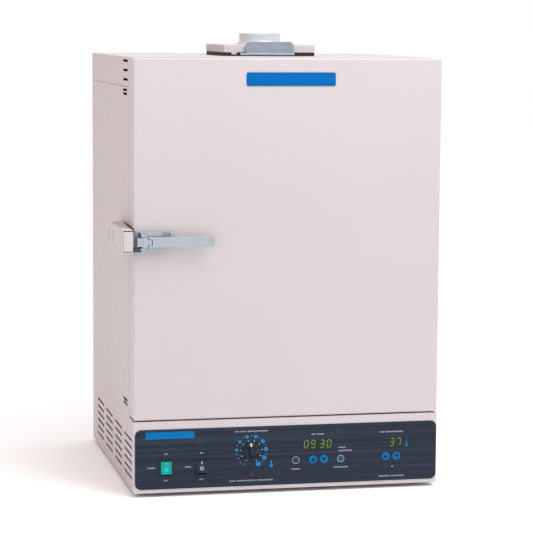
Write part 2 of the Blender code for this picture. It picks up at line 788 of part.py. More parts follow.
def shelf_racks():
    """Two ladders of rods, one on each chamber wall, whose rails carry the shelves."""
    wall = CHAMBER_WIDTH / 2 - CLEAR - ROD / 2
    near, far = BODY_FRONT + 0.030, CHAMBER_BACK - 0.030
    low = CHAMBER_LOW + 0.045
    high = low + RAIL_PITCH * (RAIL_COUNT - 1) + 0.020
    for side, way in (("left", -1), ("right", 1)):
        upright = wall * way
        post = bar((upright, near + 0.04, low), (upright, near + 0.04, high))
        rack = loft(f"shelf_rack_{side}", STAINLESS, post)
        rods = [bar((upright, far - 0.04, low), (upright, far - 0.04, high))]
        for rail in range(RAIL_COUNT):
            x = upright - way * (ROD - 0.001)
            z = low + 0.010 + rail * RAIL_PITCH
            rods.append(bar((x, near, z), (x, far, z)))
        combine(rack, "UNION", rods)


def shelves():
    """Wire shelves: a frame of rods with thinner wires laid from front to back."""
    half = CHAMBER_WIDTH / 2 - 0.0115
    near, far = BODY_FRONT + 0.020, CHAMBER_BACK - 0.030
    wires = 17
    for name, height in SHELF_HEIGHTS.items():
        rail = round((height - 0.055) / RAIL_PITCH)
        z = CHAMBER_LOW + 0.045 + 0.010 + rail * RAIL_PITCH + ROD + CLEAR
        shelf = loft(name, STAINLESS, bar((-half, near, z), (half, near, z)))
        rods = [
            bar((-half, far, z), (half, far, z)),
            bar((-half, near, z), (-half, far, z)),
            bar((half, near, z), (half, far, z)),
        ]
        combine(shelf, "UNION", rods)
        wire_z = z + 0.001
        grid = []
        for i in range(wires):
            x = -half + 2 * half * (i + 1) / (wires + 1)
            grid.append(bar((x, near + 0.001, wire_z), (x, far - 0.001, wire_z), 0.003))
        combine(shelf, "UNION", grid)


def probes():
    """Two thin sensing rods upright on the chamber's rear wall, each on a small foot plate."""
    for name, x in (("temperature_probe", 0.150), ("over_temp_probe", -0.150)):
        y = CHAMBER_BACK - 0.012
        low = CHAMBER_TOP - 0.170
        shaft = cylinder_rings("Z", (x, y), 0.0025, low, low + 0.110, 10)
        rod = loft(name, STAINLESS, shaft, smooth=True)
        bracket = box_rings(
            (x - 0.006, y - 0.001, low + 0.080),
            (x + 0.006, CHAMBER_BACK - CLEAR, low + 0.095),
        )
        combine(rod, "UNION", [bracket])


def vent():
    centre = (VENT_X, VENT_Y)
    half = TRAY_WIDTH / 2
    near, far = VENT_Y - TRAY_DEPTH / 2, VENT_Y + TRAY_DEPTH / 2
    duct_low, duct_high = CHAMBER_TOP + CHAMBER_WALL + CLEAR, TOP - CLEAR
    duct = [
        (DUCT_RADIUS, duct_low),
        (DUCT_RADIUS + SHEET, duct_low),
        (DUCT_RADIUS + SHEET, duct_high),
        (DUCT_RADIUS, duct_high),
    ]
    loft("vent_duct", STAINLESS, turned_rings("Z", centre, duct, 24), closed=True, smooth=True)

    plate = rectangle((VENT_X - half + 0.001, near + 0.0015), (VENT_X + half - 0.001, far - 0.001))
    port = circle(centre, DUCT_RADIUS + 0.001, 24)
    gasket = prism("vent_gasket", RUBBER, "Z", TOP + CLEAR, TOP + TRAY_LOW - CLEAR, plate, [port])
    track = SLIDE_WIDTH / 2 + 0.0006
    channel = box_rings(
        (SLIDE_X - track, near - 0.02, TOP + 0.0022),
        (SLIDE_X + track, far - 0.025, TOP + TRAY_LOW + 0.01),
    )
    combine(gasket, "DIFFERENCE", [channel])

    tray = cup(
        "vent_cover", DOOR_PAINT, "Z", TOP + TRAY_TOP, TOP + TRAY_LOW,
        (VENT_X - half, near), (VENT_X + half, far), SHEET, 0.003, edge=0.002,
    )
    outlet = cylinder_rings("Z", centre, STACK_RADIUS - 0.004, TOP + 0.012, TOP + 0.03, 32)
    combine(tray, "DIFFERENCE", [outlet])
    tab_x = SLIDE_X - track - 0.0155
    tab = box_rings((tab_x, near, TOP + 0.0034), (tab_x + 0.010, near + 0.0009, TOP + TRAY_LOW + 0.004))
    combine(tray, "UNION", [tab])

    low = TOP + TRAY_TOP + CLEAR
    high = TOP + STACK_TOP
    profile = [
        (STACK_RADIUS - 0.0040, low),
        (STACK_RADIUS + 0.0045, low),
        (STACK_RADIUS + 0.0045, low + 0.0015),
        (STACK_RADIUS + 0.0010, low + 0.0035),
        (STACK_RADIUS, low + 0.0070),
        (STACK_RADIUS, high - 0.0010),
        (STACK_RADIUS - 0.0010, high),
        (STACK_RADIUS - 0.0030, high),
        (STACK_RADIUS - 0.0040, high - 0.0010),
    ]
    loft("vent_stack", GREY_SHEET, turned_rings("Z", centre, profile, 40), closed=True, smooth=True)
    damper_slide(near)


def damper_slide(tray_front):
    """A flat blade in the gasket's channel, with a front lip and an upright handle before the tray."""
    left, right = SLIDE_X - SLIDE_WIDTH / 2, SLIDE_X + SLIDE_WIDTH / 2
    low = TOP + 0.0026
    front = tray_front - 0.009
    blade = rectangle((left, front + 0.001), (right, front + SLIDE_LENGTH))
    slide = prism("damper_slide", GREY_SHEET, "Z", low, low + SLIDE_THICKNESS, blade)
    lip = [
        (front, TOP + 0.0018),
        (front + 0.0040, TOP + 0.0018),
        (front + 0.0040, TOP + 0.0062),
        (front + 0.0022, TOP + 0.0062),
        (front, TOP + 0.0046),
    ]
    combine(slide, "UNION", [stack_rings("X", [(lip, left), (lip, right)])])

    grip = HANDLE_WIDTH / 2
    radius = 0.008
    top = TOP + HANDLE_TOP
    outline = [(HANDLE_X - grip, low + 0.0005), (HANDLE_X + grip, low + 0.0005)]
    for corner, way in enumerate((1, -1)):
        middle = HANDLE_X + way * (grip - radius)
        for step in range(5):
            turn = math.pi / 2 * (corner + step / 4)
            outline.append((middle + radius * math.cos(turn), top - radius + radius * math.sin(turn)))
    combine(slide, "UNION", [stack_rings("Y", [(outline, front + 0.0020), (outline, front + 0.0038)])])
    put_origin(slide, (HANDLE_X, tray_front, low))


def door():
    low, high = (LEFT, DOOR_LOW), (RIGHT, DOOR_TOP)
    rear = FRONT + DOOR_DEPTH
    shell = cup(
        "door_outer_panel", DOOR_PAINT, "Y", FRONT, rear,
        low, high, DOOR_SHEET, DOOR_EDGE_RADIUS + 0.001, edge=DOOR_EDGE_RADIUS,
    )
    inset = DOOR_SHEET + CLEAR
    pad = 0.0065
    wool = box(
        "door_insulation", GLASS_WOOL,
        (LEFT + pad, FRONT + 0.003, DOOR_LOW + pad),
        (RIGHT - pad, rear - DOOR_SHEET - 0.001, DOOR_TOP - pad),
    )
    return [shell, wool, door_inner_panel(inset, rear), door_gasket(rear), nameplate()]


def door_inner_panel(inset, rear):
    """The door's inner sheet, with a raised field that faces the chamber."""
    field_half = CHAMBER_WIDTH / 2 - 0.022
    field_low, field_high = CHAMBER_LOW + 0.022, CHAMBER_TOP - 0.022
    rise, slope = 0.0045, 0.006
    rings = []
    for margin, along in (
        (0.0, rear + rise),
        (-slope, rear),
        (None, rear),
        (None, rear - DOOR_SHEET),
        (-slope + 0.0005, rear - DOOR_SHEET),
        (0.0005, rear + rise - DOOR_SHEET),
    ):
        if margin is None:
            outline = rounded((LEFT + inset, DOOR_LOW + inset), (RIGHT - inset, DOOR_TOP - inset), 0.004)
        else:
            outline = rounded(
                (-field_half + margin, field_low + margin),
                (field_half - margin, field_high - margin),
                0.014 - margin,
            )
        rings.append((outline, along))
    return loft("door_inner_panel", STAINLESS, stack_rings("Y", rings))


def door_gasket(rear):
    """A seal round the chamber's mouth, narrower where it meets the cabinet."""
    half = CHAMBER_WIDTH / 2 + 0.014
    width = 0.014
    low, high = CHAMBER_LOW - 0.014, CHAMBER_TOP + 0.014
    near, far = rear + CLEAR, BODY_FRONT - CLEAR
    shoulder = near + 0.0022
    section = [
        (0.0, near),
        (0.0, shoulder),
        (0.003, far),
        (width - 0.003, far),
        (width, shoulder),
        (width, near),
    ]
    rings = []
    for out, along in section:
        outline = rounded((-half - out, low - out), (half + out, high + out), 0.020 + out)
        rings.append((outline, along))
    return loft("door_gasket", SILICONE, stack_rings("Y", rings), closed=True, smooth=True)


def nameplate():
    """A blank plate near the door's top edge."""
    outline = rounded((across(0.216), above(0.7767)), (across(0.3895), above(0.8024)), 0.0036, 4)
    return prism("nameplate", BLUE_FILM, "Y", FRONT - CLEAR - 0.0010, FRONT - CLEAR, outline)


def flange_outline(start, end, low, high):
    """A strip whose free end is rounded."""
    radius = (high - low) / 2
    middle = across(end) - radius
    outline = [(across(start), high), (across(start), low)]
    for step in range(7):
        turn = -math.pi / 2 + math.pi * step / 6
        outline.append((middle + radius * math.cos(turn), low + radius + radius * math.sin(turn)))
    return outline


def latch_base():
    """A casting on the door: a thin foot, a flange above and below the lever, and the lever's pin."""
    inner = LEVER_HEIGHT / 2 + 0.0005
    foot_face, flange_face, boss_face = FRONT - 0.0033, FRONT - 0.0110, FRONT - 0.0170
    outline = [
        (across(0.005), LATCH_Z - LATCH_HALF),
        (across(0.052), LATCH_Z - LATCH_HALF),
        (across(0.072), LATCH_Z + 0.004),
        (across(0.072), LATCH_Z + LATCH_HALF),
        (across(0.005), LATCH_Z + LATCH_HALF),
    ]
    base = prism("latch_base", DIE_CAST, "Y", foot_face, FRONT - CLEAR, outline)
    upper = flange_outline(0.010, 0.077, LATCH_Z + inner, LATCH_Z + LATCH_HALF)
    lower = flange_outline(0.010, 0.058, LATCH_Z - LATCH_HALF, LATCH_Z - inner)
    for flange in (upper, lower):
        combine(base, "UNION", [stack_rings("Y", [(flange, flange_face), (flange, FRONT - 0.0013)])])
    boss = [
        (across(0.0095), flange_face + 0.002),
        (across(0.0265), flange_face + 0.002),
        (across(0.0235), boss_face),
        (across(0.0125), boss_face),
    ]
    outer = LEVER_HEIGHT / 2 + 0.0050
    combine(base, "UNION", [stack_rings("Z", [(boss, LATCH_Z + inner), (boss, LATCH_Z + outer)])])
    combine(base, "UNION", [stack_rings("Z", [(boss, LATCH_Z - outer), (boss, LATCH_Z - inner)])])
    pin_at = (across(LATCH_PIN), FRONT - LATCH_PIN_OUT)
    reach = outer - 0.001
    pin = cylinder_rings("Z", pin_at, LATCH_PIN_RADIUS, LATCH_Z - reach, LATCH_Z + reach, 16)
    combine(base, "UNION", [pin])
    middle = LATCH_Z + (inner + LATCH_HALF) / 2
    seat = rounded((across(0.052), middle - 0.0031), (across(0.0695), middle + 0.0031), 0.0030, 5)
    combine(base, "DIFFERENCE", [stack_rings("Y", [(seat, FRONT - 0.020), (seat, FRONT - 0.0055)])])
    return base


def latch_nose():
    """The nose turns on the pin and interlocks with the lever through a tab."""
    shoulder, joint = across(0.0152), across(LEVER_START) - JOINT_GAP
    outline = [
        (across(0.0035), FRONT - 0.0125),
        (across(0.0055), FRONT - 0.0170),
        (shoulder, FRONT - 0.0186),
        (shoulder + 0.0010, FRONT - 0.0198),
        (joint, FRONT - 0.0198),
        (joint, FRONT - 0.0075),
        (across(0.0140), FRONT - 0.0078),
        (across(0.0080), FRONT - 0.0100),
    ]
    low, high = LATCH_Z - LEVER_HEIGHT / 2, LATCH_Z + LEVER_HEIGHT / 2
    bore = circle((across(LATCH_PIN), FRONT - LATCH_PIN_OUT), LATCH_PIN_RADIUS + CLEAR, 16)
    nose = prism("latch_nose", DIE_CAST, "Z", low, high, outline, [bore])
    for start, end in ((low - 0.001, low + 0.0020), (high - 0.0016, high + 0.001)):
        step = box_rings((across(0.0), FRONT - 0.030, start), (across(0.0140), FRONT, end))
        combine(nose, "DIFFERENCE", [step])
    tab = box_rings(
        (joint - 0.002, FRONT - 0.0194, LATCH_Z - TAB_HEIGHT / 2),
        (across(TAB_END) - JOINT_GAP, FRONT - 0.0140, LATCH_Z + TAB_HEIGHT / 2),
    )
    combine(nose, "UNION", [tab])
    return nose


def latch_lever():
    """A pull bar that flares outwards and narrows at its free end."""
    outline = [
        (across(LEVER_START), FRONT - 0.0198),
        (across(0.080), FRONT - 0.0185),
        (across(0.138), FRONT - 0.0198),
        (across(LEVER_END - 0.001), FRONT - FRONT_REACH),
        (across(LEVER_END), FRONT - 0.0225),
        (across(0.140), FRONT - 0.0160),
        (across(0.080), FRONT - 0.0142),
        (across(0.034), FRONT - 0.0135),
        (across(LEVER_START), FRONT - 0.0080),
    ]
    low, high = LATCH_Z - LEVER_HEIGHT / 2, LATCH_Z + LEVER_HEIGHT / 2
    lever = prism("latch_lever", DIE_CAST, "Z", low, high, outline)
    notch = box_rings(
        (across(LEVER_START) - 0.005, FRONT - 0.030, LATCH_Z - TAB_HEIGHT / 2 - 0.0005),
        (across(TAB_END), FRONT - 0.002, LATCH_Z + TAB_HEIGHT / 2 + 0.0005),
    )
    taper = [
        (across(0.110), low - 0.002),
        (across(LEVER_END + 0.004), low - 0.002),
        (across(LEVER_END + 0.004), low + 0.003),
    ]
    combine(lever, "DIFFERENCE", [notch])
    combine(lever, "DIFFERENCE", [stack_rings("Y", [(taper, FRONT - 0.060), (taper, FRONT)])])
    return lever


def strike():
    """A folded pocket beside the door's edge, fixed to the side panel behind the door."""
    front, shoulder, rear = FRONT - STRIKE_FRONT, FRONT + STRIKE_SHOULDER, FRONT + STRIKE_REAR
    outer, inner = LEFT - STRIKE_OUT, LEFT - STRIKE_INNER
    bottom, top = LATCH_Z - 0.0205, LATCH_Z + 0.0240
    rise = 0.003
    door_rear = FRONT + 0.060
    wall = STRIKE_WALL
    profile = [
        (front, bottom),
        (shoulder, bottom),
        (rear, bottom + 0.006),
        (rear, top - 0.006),
        (shoulder, top + rise),
        (front, top),
    ]
    housing = prism("strike_bracket", BODY_PAINT, "X", outer, inner, profile)
    back = [
        (door_rear, bottom),
        (shoulder, bottom),
        (rear, bottom + 0.006),
        (rear, top - 0.006),
        (shoulder, top + rise),
        (door_rear, top + rise / 2),
    ]
    combine(housing, "UNION", [stack_rings("X", [(back, inner - 0.001), (back, LEFT - CLEAR)])])
    hollow = [
        (front - 0.010, bottom + wall),
        (shoulder, bottom + wall),
        (rear - wall, bottom + 0.006 + wall),
        (rear - wall, top - 0.006 - wall),
        (shoulder, top + rise - wall),
        (front - 0.010, top - wall),
    ]
    combine(housing, "DIFFERENCE", [stack_rings("X", [(hollow, outer + wall), (hollow, inner - wall)])])
    mouth = box_rings(
        (inner - 2 * wall, front - 0.010, bottom + wall),
        (inner + 0.010, door_rear - wall, top - wall),
    )
    combine(housing, "DIFFERENCE", [mouth])
    for place in STRIKE_SLOTS:
        low, high = centred((FRONT + place, LATCH_Z), STRIKE_SLOT)
        slot = box_rings((outer - 0.010, low[0], low[1]), (outer + wall + 0.002, high[0], high[1]))
        combine(housing, "DIFFERENCE", [slot])

    face_left = outer + wall + 0.0006
    low, high = bottom + wall + 0.0016, top - wall - 0.0016
    plate = box("strike_plate", DOOR_PAINT, (face_left, front, low), (inner, front + SHEET, high))
    lip = box_rings((face_left, front + 0.0005, low), (face_left + SHEET, front + 0.030, high))
    combine(plate, "UNION", [lip])


def hinges():
    """Two barrel hinges. The cabinet's leaf carries the pin, and the door's leaf turns on it."""
    axis = (HINGE_X, HINGE_Y)
    leaf_in = RIGHT + CLEAR
    leaf_out = leaf_in + LEAF_THICKNESS
    half, third = HINGE_LENGTH / 2, HINGE_LENGTH / 6
    near, far = HINGE_Y - LEAF_WIDTH, HINGE_Y + LEAF_WIDTH
    clear = 0.0065
    door_leaves = []
    for place, height in HINGE_HEIGHTS.items():
        middle = above(height)
        bottom, top = middle - half, middle + half
        pin = cylinder_rings("Z", axis, HINGE_PIN_RADIUS, bottom, top, 16)
        body_leaf = loft(f"hinge_{place}_body_leaf", ZINC, pin)
        knuckles = ((bottom, middle - third), (middle + third, top))
        barrels = [cylinder_rings("Z", axis, HINGE_BARREL_RADIUS, *span, 16) for span in knuckles]
        combine(body_leaf, "UNION", barrels)
        plate = box_rings((leaf_in, HINGE_Y + clear, bottom), (leaf_out, far, top))
        combine(body_leaf, "UNION", [plate])
        webs = [
            box_rings((leaf_in, HINGE_Y, low), (leaf_out + 0.0008, HINGE_Y + clear + 0.001, high))
            for low, high in knuckles
        ]
        combine(body_leaf, "UNION", webs)

        low, high = middle - third + 0.0004, middle + third - 0.0004
        barrel = cylinder_rings("Z", axis, HINGE_BARREL_RADIUS, low, high, 16)
        door_leaf = loft(f"hinge_{place}_door_leaf", ZINC, barrel)
        web = box_rings((leaf_in, HINGE_Y - clear - 0.001, low), (leaf_out + 0.0008, HINGE_Y, high))
        combine(door_leaf, "UNION", [web])
        plate = box_rings((leaf_in, near, bottom), (leaf_out, HINGE_Y - clear, top))
        combine(door_leaf, "UNION", [plate])
        bore = cylinder_rings("Z", axis, HINGE_PIN_RADIUS + CLEAR, low - 0.005, high + 0.005, 16)
        combine(door_leaf, "DIFFERENCE", [bore])
        door_leaves.append(door_leaf)
    return door_leaves


def build():
    for item in list(bpy.data.objects):
        bpy.data.objects.remove(item)
    base_pan()
    feet()
    side_panels()
    top_cover()
    back_panel()
    base_front_panel()
    chassis_deck()
    front_frame()
    chamber()
    insulation()
    floor_diffuser()
    heater_element()
    shelf_racks()
    shelves()
    probes()
    vent()
    panel_overlay()
    displays()
    lamps()
    rocker_switch("power", GREEN_LENS)
    rocker_switch("timer", BLACK_PLASTIC)
    over_temp_control()
    buttons()
    control_board()
    power_inlet()
    strike()
    hinge_axis = make_axis("door_axis", (HINGE_X, HINGE_Y, above(HEIGHT / 2)))
    hang(hinge_axis, *door(), latch_base(), *hinges())
    latch_axis = make_axis("latch_axis", (across(LATCH_PIN), FRONT - LATCH_PIN_OUT, LATCH_Z), hinge_axis)
    hang(latch_axis, latch_nose(), latch_lever())


build()
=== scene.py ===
"""Looks for the bench-top incubator: finishes, printing, digits, dial, wire shelves and studio.

Metres, +Z up, and the front faces -Y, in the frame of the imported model.
Places on the control panel are given from the cabinet's left side and above its underside.
"""

import json
import math

import bmesh
import bpy
from mathutils import Matrix, Vector
from mathutils.bvhtree import BVHTree


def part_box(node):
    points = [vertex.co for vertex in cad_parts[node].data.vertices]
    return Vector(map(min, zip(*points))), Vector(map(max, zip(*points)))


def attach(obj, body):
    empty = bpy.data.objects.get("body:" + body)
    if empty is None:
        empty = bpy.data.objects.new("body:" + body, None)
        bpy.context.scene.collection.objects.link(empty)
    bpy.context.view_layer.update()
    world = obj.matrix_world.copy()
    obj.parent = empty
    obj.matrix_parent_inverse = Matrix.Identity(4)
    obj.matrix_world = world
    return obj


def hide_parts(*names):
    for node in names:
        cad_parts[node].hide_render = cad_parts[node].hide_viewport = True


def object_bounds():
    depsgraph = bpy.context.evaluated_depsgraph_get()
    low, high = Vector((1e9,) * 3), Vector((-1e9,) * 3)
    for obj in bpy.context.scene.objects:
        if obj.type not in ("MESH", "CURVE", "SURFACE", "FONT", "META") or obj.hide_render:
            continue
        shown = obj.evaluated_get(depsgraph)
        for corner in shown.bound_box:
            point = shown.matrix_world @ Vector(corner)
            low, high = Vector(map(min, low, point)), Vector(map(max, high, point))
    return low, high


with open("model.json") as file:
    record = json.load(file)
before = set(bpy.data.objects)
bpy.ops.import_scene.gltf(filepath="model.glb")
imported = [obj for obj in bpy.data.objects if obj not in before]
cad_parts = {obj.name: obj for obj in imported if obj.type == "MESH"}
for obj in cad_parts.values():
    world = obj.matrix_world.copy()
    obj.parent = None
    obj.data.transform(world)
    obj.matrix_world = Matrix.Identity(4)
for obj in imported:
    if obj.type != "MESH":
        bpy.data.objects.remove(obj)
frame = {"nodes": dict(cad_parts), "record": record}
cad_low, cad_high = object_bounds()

NODES = frame["nodes"]
PANEL_LOW, PANEL_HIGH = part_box("base_front_panel")
LEFT, RIGHT = PANEL_LOW.x, PANEL_HIGH.x
FRONT = PANEL_LOW.y
UNDERSIDE = PANEL_LOW.z
OVERLAY_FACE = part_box("panel_overlay")[0].y

# Printing on the control panel
INK = 0.00012
SINK = 0.0003
DIAL_CENTRE = (0.2288, 0.0756)
DIAL_RADIUS = 0.0292
KNOB_STEPS = 120
POINTER_TURN = math.radians(-8)
DIAL_DOTS = 10
FAINT_DOTS = 2
DIAL_REACH = math.radians(151.7)
DOT_RADII = (0.0021, 0.0048)
TICK_RADII = (0.0190, 0.0220)
TICK_WIDTH = 0.0012
POINT_RADIUS = 0.0007
LABEL_CENTRE = (0.0700, 0.1115)
LABEL = (0.0945, 0.0132)
LABEL_THICKNESS = 0.00025
LETTER = (0.0012, 0.0026)
LETTER_PITCH = 0.0021
CAPTIONS = (
    (0.2290, 0.1142, (4, 6, 19)),
    (0.2285, 0.0180, (6, 18, 15)),
    (0.0625, 0.0755, (3,)),
    (0.0620, 0.0240, (4,)),
    (0.1315, 0.0755, (3,)),
    (0.1312, 0.0240, (4,)),
    (0.0337, 0.0490, (7,)),
    (0.1050, 0.0490, (6,)),
    (0.3600, 0.1042, (4, 7)),
    (0.4088, 0.0765, (7,)),
    (0.4155, 0.0700, (13,)),
    (0.3165, 0.0370, (8,)),
    (0.4067, 0.0376, (14,)),
    (0.5080, 0.1040, (4, 17)),
    (0.5085, 0.0165, (11, 13)),
)

# Symbols on the control panel. A thermometer is x, low, high and the radius of its bulb, a clock is
# its centre, and a wave is its centre, length, rise and stroke.
THERMOMETERS = ((0.2682, 0.0425, 0.0555, 0.0032), (0.5390, 0.0735, 0.0850, 0.0022))
CLOCKS = ((0.1310, 0.0950), (0.4030, 0.1080))
CLOCK_RADII = (0.0054, 0.0045)
HAND_WIDTH = 0.0009
STEM_CENTRE = (0.5390, 0.0905)
STEM = (0.0017, 0.0105)
WAVES = (
    (0.0620, 0.0920, 0.0170, 0.0022, 0.0011),
    (0.1930, 0.0985, 0.0150, 0.0012, 0.0014),
    (0.1930, 0.1025, 0.0150, 0.0012, 0.0014),
)

# Signs on the keys and rockers, and the size of the painted glint on the lamp. A key's sign is a ring: outer
# and inner radius, and steps.
LAMP_GLINT_RADIUS = 0.0015
KEY_RING_RADII = (0.0072, 0.0063)
KEY_SIGNS = {"audible_button": (0.0026, 0.0018, 16), "start_stop_button": (0.0052, 0.0018, 24)}
ARROW_HALF_WIDTH = 0.0043
ARROW_FOOT = 0.0030
ARROW_TIP = 0.0044
ON_LINE = (0.0016, 0.0058)
ON_LINE_RISE = 0.0078
OFF_CIRCLE_RADII = (0.0034, 0.0022)
OFF_CIRCLE_DROP = 0.0032

# Seven-segment digits: the first digit's left and low edges, and the characters
READOUTS = {"timer": (0.3322, 0.0768, "09 30"), "temperature": (0.5040, 0.0752, "37")}
DIGIT = (0.0086, 0.0162)
DIGIT_GAP = 0.0050
SPACE_WIDTH = 0.0045
SEGMENT_WIDTH = 0.0017
SEGMENT_GAP = 0.00025
WINDOW_MARGIN = 0.0024
DIGIT_SLANT = math.tan(math.radians(7))
LIT = {"0": "abcdef", "3": "abcdg", "7": "abc", "9": "abcdfg"}

# Wire shelves and racks
ROD_RADIUS = 0.0025
WIRE_RADIUS = 0.0015
WIRE_COUNT = 17
SHELF_CORNER = 0.010
POST_INSET = 0.040
RAIL_COUNT = 8
RAIL_PITCH = 0.060
LOWEST_RAIL = 0.010


def across(from_left):
    return LEFT + from_left


def above(height):
    return UNDERSIDE + height


# ---------------------------------------------------------------- finishes


class Finish:
    """A procedural material: its shader, and short calls for the patterns that drive it."""

    def __init__(self, name, **sockets):
        self.material = bpy.data.materials.new(name)
        self.material.use_nodes = True
        self.nodes = self.material.node_tree.nodes
        self.links = self.material.node_tree.links
        self.shader = self.nodes["Principled BSDF"]
        self.place = self.nodes.new("ShaderNodeTexCoord").outputs["Object"]
        self.normal = None
        for socket, value in sockets.items():
            self.shader.inputs[socket.replace("_", " ")].default_value = value

    def noise(self, scale, detail=3.0, stretch=(1, 1, 1)):
        mapping = self.nodes.new("ShaderNodeMapping")
        mapping.inputs["Scale"].default_value = stretch
        self.links.new(self.place, mapping.inputs["Vector"])
        noise = self.nodes.new("ShaderNodeTexNoise")
        noise.inputs["Scale"].default_value = scale
        noise.inputs["Detail"].default_value = detail
        self.links.new(mapping.outputs["Vector"], noise.inputs["Vector"])
        return noise.outputs["Fac"]

    def cells(self, scale):
        voronoi = self.nodes.new("ShaderNodeTexVoronoi")
        voronoi.inputs["Scale"].default_value = scale
        self.links.new(self.place, voronoi.inputs["Vector"])
        return voronoi.outputs["Distance"]

    def colour(self, pattern, low, high, stops=(0.35, 0.65)):
        ramp = self.nodes.new("ShaderNodeValToRGB")
        for element, stop, shade in zip(ramp.color_ramp.elements, stops, (low, high)):
            element.position = stop
            element.color = (*shade, 1)
        self.links.new(pattern, ramp.inputs["Fac"])
        self.links.new(ramp.outputs["Color"], self.shader.inputs["Base Color"])

    def roughness(self, pattern, low, high):
        spread = self.nodes.new("ShaderNodeMapRange")
        spread.inputs["From Min"].default_value = 0.3
        spread.inputs["From Max"].default_value = 0.7
        spread.inputs["To Min"].default_value = low
        spread.inputs["To Max"].default_value = high
        self.links.new(pattern, spread.inputs["Value"])
        self.links.new(spread.outputs["Result"], self.shader.inputs["Roughness"])

    def bump(self, pattern, distance, strength=1.0):
        bump = self.nodes.new("ShaderNodeBump")
        bump.inputs["Distance"].default_value = distance
        bump.inputs["Strength"].default_value = strength
        self.links.new(pattern, bump.inputs["Height"])
        if self.normal:
            self.links.new(self.normal, bump.inputs["Normal"])
        self.normal = bump.outputs["Normal"]
        self.links.new(self.normal, self.shader.inputs["Normal"])


def tint(colour, factor):
    return tuple(min(channel * factor, 1.0) for channel in colour)


def paint(name, colour):
    """Baked powder coat: a faint mottle, and fine orange peel over a slow waviness."""
    finish = Finish(name, IOR=1.45, Specular_IOR_Level=0.35)
    finish.colour(finish.noise(2.3, 2.0), tint(colour, 0.985), tint(colour, 1.015))
    finish.roughness(finish.noise(60.0), 0.40, 0.50)
    finish.bump(finish.noise(420.0, 2.0), 0.00010, 0.35)
    finish.bump(finish.noise(7.0, 1.0), 0.0006, 0.10)
    return finish.material


def brushed(name, colour, along, low=0.26, high=0.40):
    """Metal with long fine scratches along one axis."""
    finish = Finish(name, Metallic=1.0)
    stretch = {"X": (1, 60, 60), "Z": (60, 60, 1)}[along]
    lines = finish.noise(14.0, 5.0, stretch)
    finish.colour(lines, tint(colour, 0.90), tint(colour, 1.08))
    finish.roughness(finish.noise(9.0, 4.0, stretch), low, high)
    finish.bump(lines, 0.00004, 0.35)
    return finish.material


def casting(name, colour):
    """Die-cast and tumbled alloy, speckled and slightly pitted."""
    finish = Finish(name, Metallic=0.55, Specular_IOR_Level=0.4)
    finish.colour(finish.noise(420.0, 4.0), tint(colour, 0.94), tint(colour, 1.05), (0.38, 0.62))
    finish.roughness(finish.noise(90.0), 0.36, 0.50)
    finish.bump(finish.noise(900.0, 3.0), 0.00006, 0.35)
    finish.bump(finish.noise(55.0, 2.0), 0.0002, 0.12)
    return finish.material


def spun(name, colour):
    """Rolled sheet with a dull, cloudy surface."""
    finish = Finish(name, Metallic=0.6, Specular_IOR_Level=0.45)
    finish.colour(finish.noise(34.0, 4.0, (1, 1, 3)), tint(colour, 0.93), tint(colour, 1.06))
    finish.roughness(finish.noise(120.0, 3.0, (1, 1, 8)), 0.34, 0.46)
    finish.bump(finish.noise(260.0, 3.0, (1, 1, 10)), 0.00005, 0.4)
    return finish.material


def film(name, colour, contrast, shine):
    """Printed polyester film with faint level bands."""
    finish = Finish(name, Specular_IOR_Level=shine)
    bands = finish.noise(5.0, 4.0, (0.35, 1, 34))
    finish.colour(bands, tint(colour, 1 - contrast), tint(colour, 1 + contrast), (0.32, 0.68))
    finish.roughness(finish.noise(500.0, 2.0), 0.36, 0.46)
    finish.bump(finish.noise(900.0, 2.0), 0.00003, 0.3)
    return finish.material


def plastic(name, colour, low=0.34, high=0.44, grain=0.00006, **sockets):
    """Moulded plastic with a fine spark-eroded grain."""
    finish = Finish(name, **sockets)
    finish.colour(finish.noise(45.0, 2.0), tint(colour, 0.92), tint(colour, 1.10))
    finish.roughness(finish.noise(300.0, 2.0), low, high)
    finish.bump(finish.noise(800.0, 2.0), grain, 0.4)
    return finish.material


def printed(name, colour, strength=0.0):
    """Screen-printed ink with a slightly uneven edge of tone, or, when it glows, a lit segment or a painted
    glint.
    """
    finish = Finish(name, Specular_IOR_Level=0.06, Emission_Strength=strength)
    finish.shader.inputs["Emission Color"].default_value = (*colour, 1)
    finish.colour(finish.noise(700.0, 2.0), tint(colour, 0.88), tint(colour, 1.05))
    finish.roughness(finish.noise(900.0, 2.0), 0.42, 0.55)
    finish.bump(finish.cells(1500.0), 0.00002, 0.3)
    return finish.material


def soft_rubber(name, colour):
    finish = Finish(name, Specular_IOR_Level=0.3)
    finish.colour(finish.noise(120.0, 4.0), tint(colour, 0.8), tint(colour, 1.25))
    finish.roughness(finish.noise(200.0), 0.62, 0.82)
    finish.bump(finish.noise(900.0, 2.0), 0.0001, 0.4)
    return finish.material


def glass_wool(name, colour):
    finish = Finish(name, Specular_IOR_Level=0.1)
    fibres = finish.noise(60.0, 8.0, (1, 6, 2))
    finish.colour(fibres, tint(colour, 0.6), tint(colour, 1.3))
    finish.roughness(fibres, 0.85, 1.0)
    finish.bump(fibres, 0.002, 0.8)
    return finish.material


def circuit(name, colour):
    finish = Finish(name, Specular_IOR_Level=0.5)
    finish.colour(finish.cells(240.0), tint(colour, 0.7), tint(colour, 1.6), (0.1, 0.5))
    finish.roughness(finish.noise(300.0), 0.3, 0.5)
    finish.bump(finish.cells(240.0), 0.0002, 0.4)
    return finish.material


DOOR_COLOUR = (0.494, 0.455, 0.472)
BODY_COLOUR = (0.500, 0.446, 0.456)
STEEL = (0.58, 0.59, 0.60)

